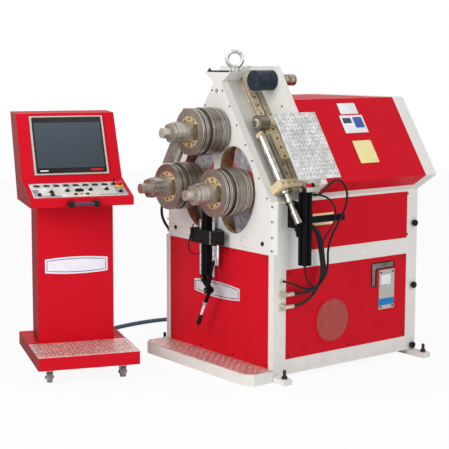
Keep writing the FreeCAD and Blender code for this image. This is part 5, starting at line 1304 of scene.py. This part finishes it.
# %% Head and drive details
HEAD_TOP, UP = 1.475, Vector((0, 0, 1))
HEAD_HOLE = Vector((-0.005, 0, 1.3835))
slab("head_stop_strip", (0.0, 0.018, HEAD_TOP), UP, (1, 0, 0), 0.136, 0.012, 0.0085, knob_plastic, radius=0.002)
turned_piece("head_nut", [(0.012, 0), (0.012, 0.008), (0.006, 0.009), (0.006, 0.018)], (-0.086, 0.018, HEAD_TOP), UP,
             dark_steel, count=6, crown=0.001)
turned_piece("head_hole", [(0.0095, 0), (0.0095, 0.0003)], HEAD_HOLE, FRONT, shade_plate, count=28)
ring_band("head_hole_edge", HEAD_HOLE, FRONT, 0.0098, 0.0082, 0.0, 0.0008, dark_steel, count=28)
for name, y, way, places in (("rear_plate_screws", 0.2225, -FRONT, ((0.18, 1.45), (0.30, 1.25))),
                             ("wing_screws", 0.189, FRONT, ((0.205, 1.43), (0.27, 1.31), (0.335, 1.19)))):
    screws(name, [((side * x, y, z), way) for side, word in SIDES for x, z in places], 0.005, 0.002)

# %% Films and small plates
HOOD_NORMAL = Vector((0.387, 0, 0.247)).normalized()
HOOD_EDGE_X, HOOD_EDGE_Z, HOOD_RUN = 0.320, 1.343, 0.247 / 0.387


def hood_film(name, y, z, width, height, finish, radius=0.001, thick=0.0006, lift=0.0015):
    """A blank film on the red hood cover, at a depth and height."""
    place = Vector((HOOD_EDGE_X + (HOOD_EDGE_Z - z) * HOOD_RUN, y, z)) + HOOD_NORMAL * lift
    slab(name, place, HOOD_NORMAL, (0, 1, 0), width, height, thick, finish, radius=radius)


hood_film("hood_film_upper", 0.5475, 1.2925, 0.119, 0.062, blank_label)
hood_film("hood_film_blue", 0.5475, 1.218, 0.155, 0.1, blank_label)
hood_film("hood_film_plain", 0.55, 1.086, 0.125, 0.125, pale_label, 0.003)
hood_film("hood_film_block", 0.583, 1.225, 0.06, 0.06, blue_line, 0.004, 0.0004, 0.0022)
hood_film("hood_film_band", 0.51, 1.235, 0.056, 0.03, navy_line, 0.002, 0.0004, 0.0022)
slab("flank_film", (FLANK, 0.311, 0.767), OUT, (0, 1, 0), 0.138, 0.058, 0.0006, pale_label, radius=0.001)
slab("border_film", (0.4405, 0.575, 0.5765), OUT, (0, 1, 0), 0.05, 0.018, 0.0006, blank_label, radius=0.001)

# %% Hose post details
slab("post_cap", (0.5395, 0.1065, 0.922), UP, (1, 0, 0), 0.043, 0.043, 0.003, knob_plastic, radius=0.005)
slab("arm_cap", (0.539, 0.348, 0.786), -FRONT, (1, 0, 0), 0.026, 0.026, 0.003, knob_plastic, radius=0.004)
rod_between("clamp_lever", (0.482, 0.104, 0.745), (0.476, 0.118, 0.7), 0.0065, knob_plastic, count=16, tip=-0.002)
turned_piece("clamp_hub", [(0.011, 0), (0.011, 0.016)], (0.484, 0.104, 0.746), -UP, knob_plastic, count=20, crown=0.001)
screws("bracket_screws", [((x, 0.084, z), FRONT) for x in (0.46, 0.497) for z in (0.77, 0.845)], 0.006, 0.005)
rod_between("adjusting_pin", (0.5, 0.012, 0.872), (0.474, 0.012, 0.872), 0.0055, satin_sheet)

# %% Valve on the post
slab("valve_block", (0.541, 0.137, 0.922), UP, (0, 1, 0), 0.082, 0.046, 0.021, satin_sheet, radius=0.004)
turned_piece("valve_cap", [(0.0125, 0), (0.0135, 0.002), (0.0135, 0.015), (0.012, 0.017)], (0.55, 0.118, 0.9428), UP,
             red_plastic, count=12)
turned_piece("valve_coil", [(0.0115, 0), (0.0115, 0.012), (0.008, 0.013), (0.008, 0.018)], (0.538, 0.152, 0.9428), UP,
             knob_plastic, count=24)
turned_piece("valve_knob", [(0.007, 0), (0.007, 0.008), (0.0145, 0.008), (0.0145, 0.024), (0.0125, 0.026)],
             (0.546, 0.0962, 0.933), FRONT, knob_plastic, count=32)
turned_piece("valve_knob_face", [(0.0105, 0), (0.0105, 0.0008)], (0.546, 0.0702, 0.933), FRONT, bright_steel, count=28)

# %% [markdown]
# ## Castors
# Each castor carries a swivel ring and an axle bolt, and its tyre sits between two grey hub discs.

# %% Castor bolts
for word in ("front_left", "front_right", "rear_left", "rear_right"):
    wheel, fork = nodes["castor_wheel_" + word], nodes["castor_fork_" + word]
    spots = [v.co for v in wheel.data.vertices]
    hub = sum(spots, Vector()) / len(spots)
    wheel_half = max((p - hub).dot(CONSOLE_ACROSS) for p in spots)
    fork_half = max(abs((v.co - hub).dot(CONSOLE_ACROSS)) for v in fork.data.vertices if v.co.z < hub.z + 0.006)
    for turn in (1, -1):
        way = CONSOLE_ACROSS * turn
        turned_piece(f"castor_hub_{word}_{turn + 1}", [(0.0075, -0.0005), (0.0165, -0.0005), (0.0165, 0.0004),
                                                       (0.0095, 0.0012), (0.0075, 0.0012)],
                     hub + way * wheel_half, way, castor_zinc, "wheel_" + word, 28, core=None)
        turned_piece(f"castor_bolt_{word}_{turn + 1}", [(0.0072, -0.0005), (0.0072, 0.0042), (0.006, 0.005)],
                     hub + way * fork_half, way, dark_steel, "fork_" + word, 6)
print("castor hubs and bolts made")

# %% [markdown]
# ## Light, floor and backdrop
# Soft studio light: an even sky colour and three large lamps, from the front, from the right and
# from above. The camera and mirrored rays see pure white, which comes from Light Path and not from
# brighter lamps; the floor glows almost white in the camera's eye only.

# %% World and floor
world = bpy.data.worlds.new("studio")
bpy.context.scene.world = world
world.use_nodes = True
sky = Shader(world.node_tree)
sky.tree.nodes.clear()
white_rays = sky.ray("Camera").most(sky.ray("Transmission")).most(sky.ray("Glossy"))
white_light = sky.node("ShaderNodeBackground", {}, {"Color": (1, 1, 1, 1), "Strength": 1.0})
room_light = sky.node("ShaderNodeBackground", {}, {"Color": (0.93, 0.96, 1.0, 1), "Strength": 0.5})
sky.surface(white_rays, room_light, white_light, sky.tree.nodes.new("ShaderNodeOutputWorld"))

FLOOR_GLOW, FLOOR_HALF = 0.92, 9.0
floor_finish = Finish("pale_floor", Roughness=0.7, Base_Color=(0.9, 0.9, 0.9, 1))
floor_glow = floor_finish.node("ShaderNodeEmission", {}, {"Strength": 1.0})
floor_finish.surface(floor_finish.ray("Camera") * FLOOR_GLOW, Link(floor_finish, floor_finish.shader.outputs[0]),
                     floor_glow, floor_finish.tree.nodes["Material Output"])
floor_mesh = bpy.data.meshes.new("floor")
floor_mesh.from_pydata([(x * FLOOR_HALF, y * FLOOR_HALF, 0) for x, y in ((-1, -1), (1, -1), (1, 1), (-1, 1))], [],
                       [(0, 1, 2, 3)])
floor_mesh.materials.append(floor_finish.material)
floor = bpy.data.objects.new("floor", floor_mesh)
bpy.context.scene.collection.objects.link(floor)


def lamp(name, place, aim, size, power):
    data = bpy.data.lights.new(name, "AREA")
    data.shape = "SQUARE"
    data.size = size
    data.energy = power
    made = bpy.data.objects.new(name, data)
    made.location = place
    made.rotation_euler = (Vector(aim) - Vector(place)).to_track_quat("-Z", "Y").to_euler()
    bpy.context.scene.collection.objects.link(made)


lamp("key_lamp", (0.9, -5.4, 3.2), (0, 0, 0.8), 3.0, 185)
lamp("side_lamp", (5.6, 0.9, 3.0), (0, 0.3, 0.7), 3.0, 84)
lamp("top_lamp", (0.3, -0.2, 5.2), (0, 0.2, 0.5), 3.5, 24)
bpy.context.scene.view_settings.view_transform = "Standard"
print("light set; transform:", bpy.context.scene.view_settings.view_transform)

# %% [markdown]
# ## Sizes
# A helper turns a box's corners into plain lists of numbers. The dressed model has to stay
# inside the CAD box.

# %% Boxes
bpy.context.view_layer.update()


def plain(box):
    return [[float(v) for v in corner] for corner in box]
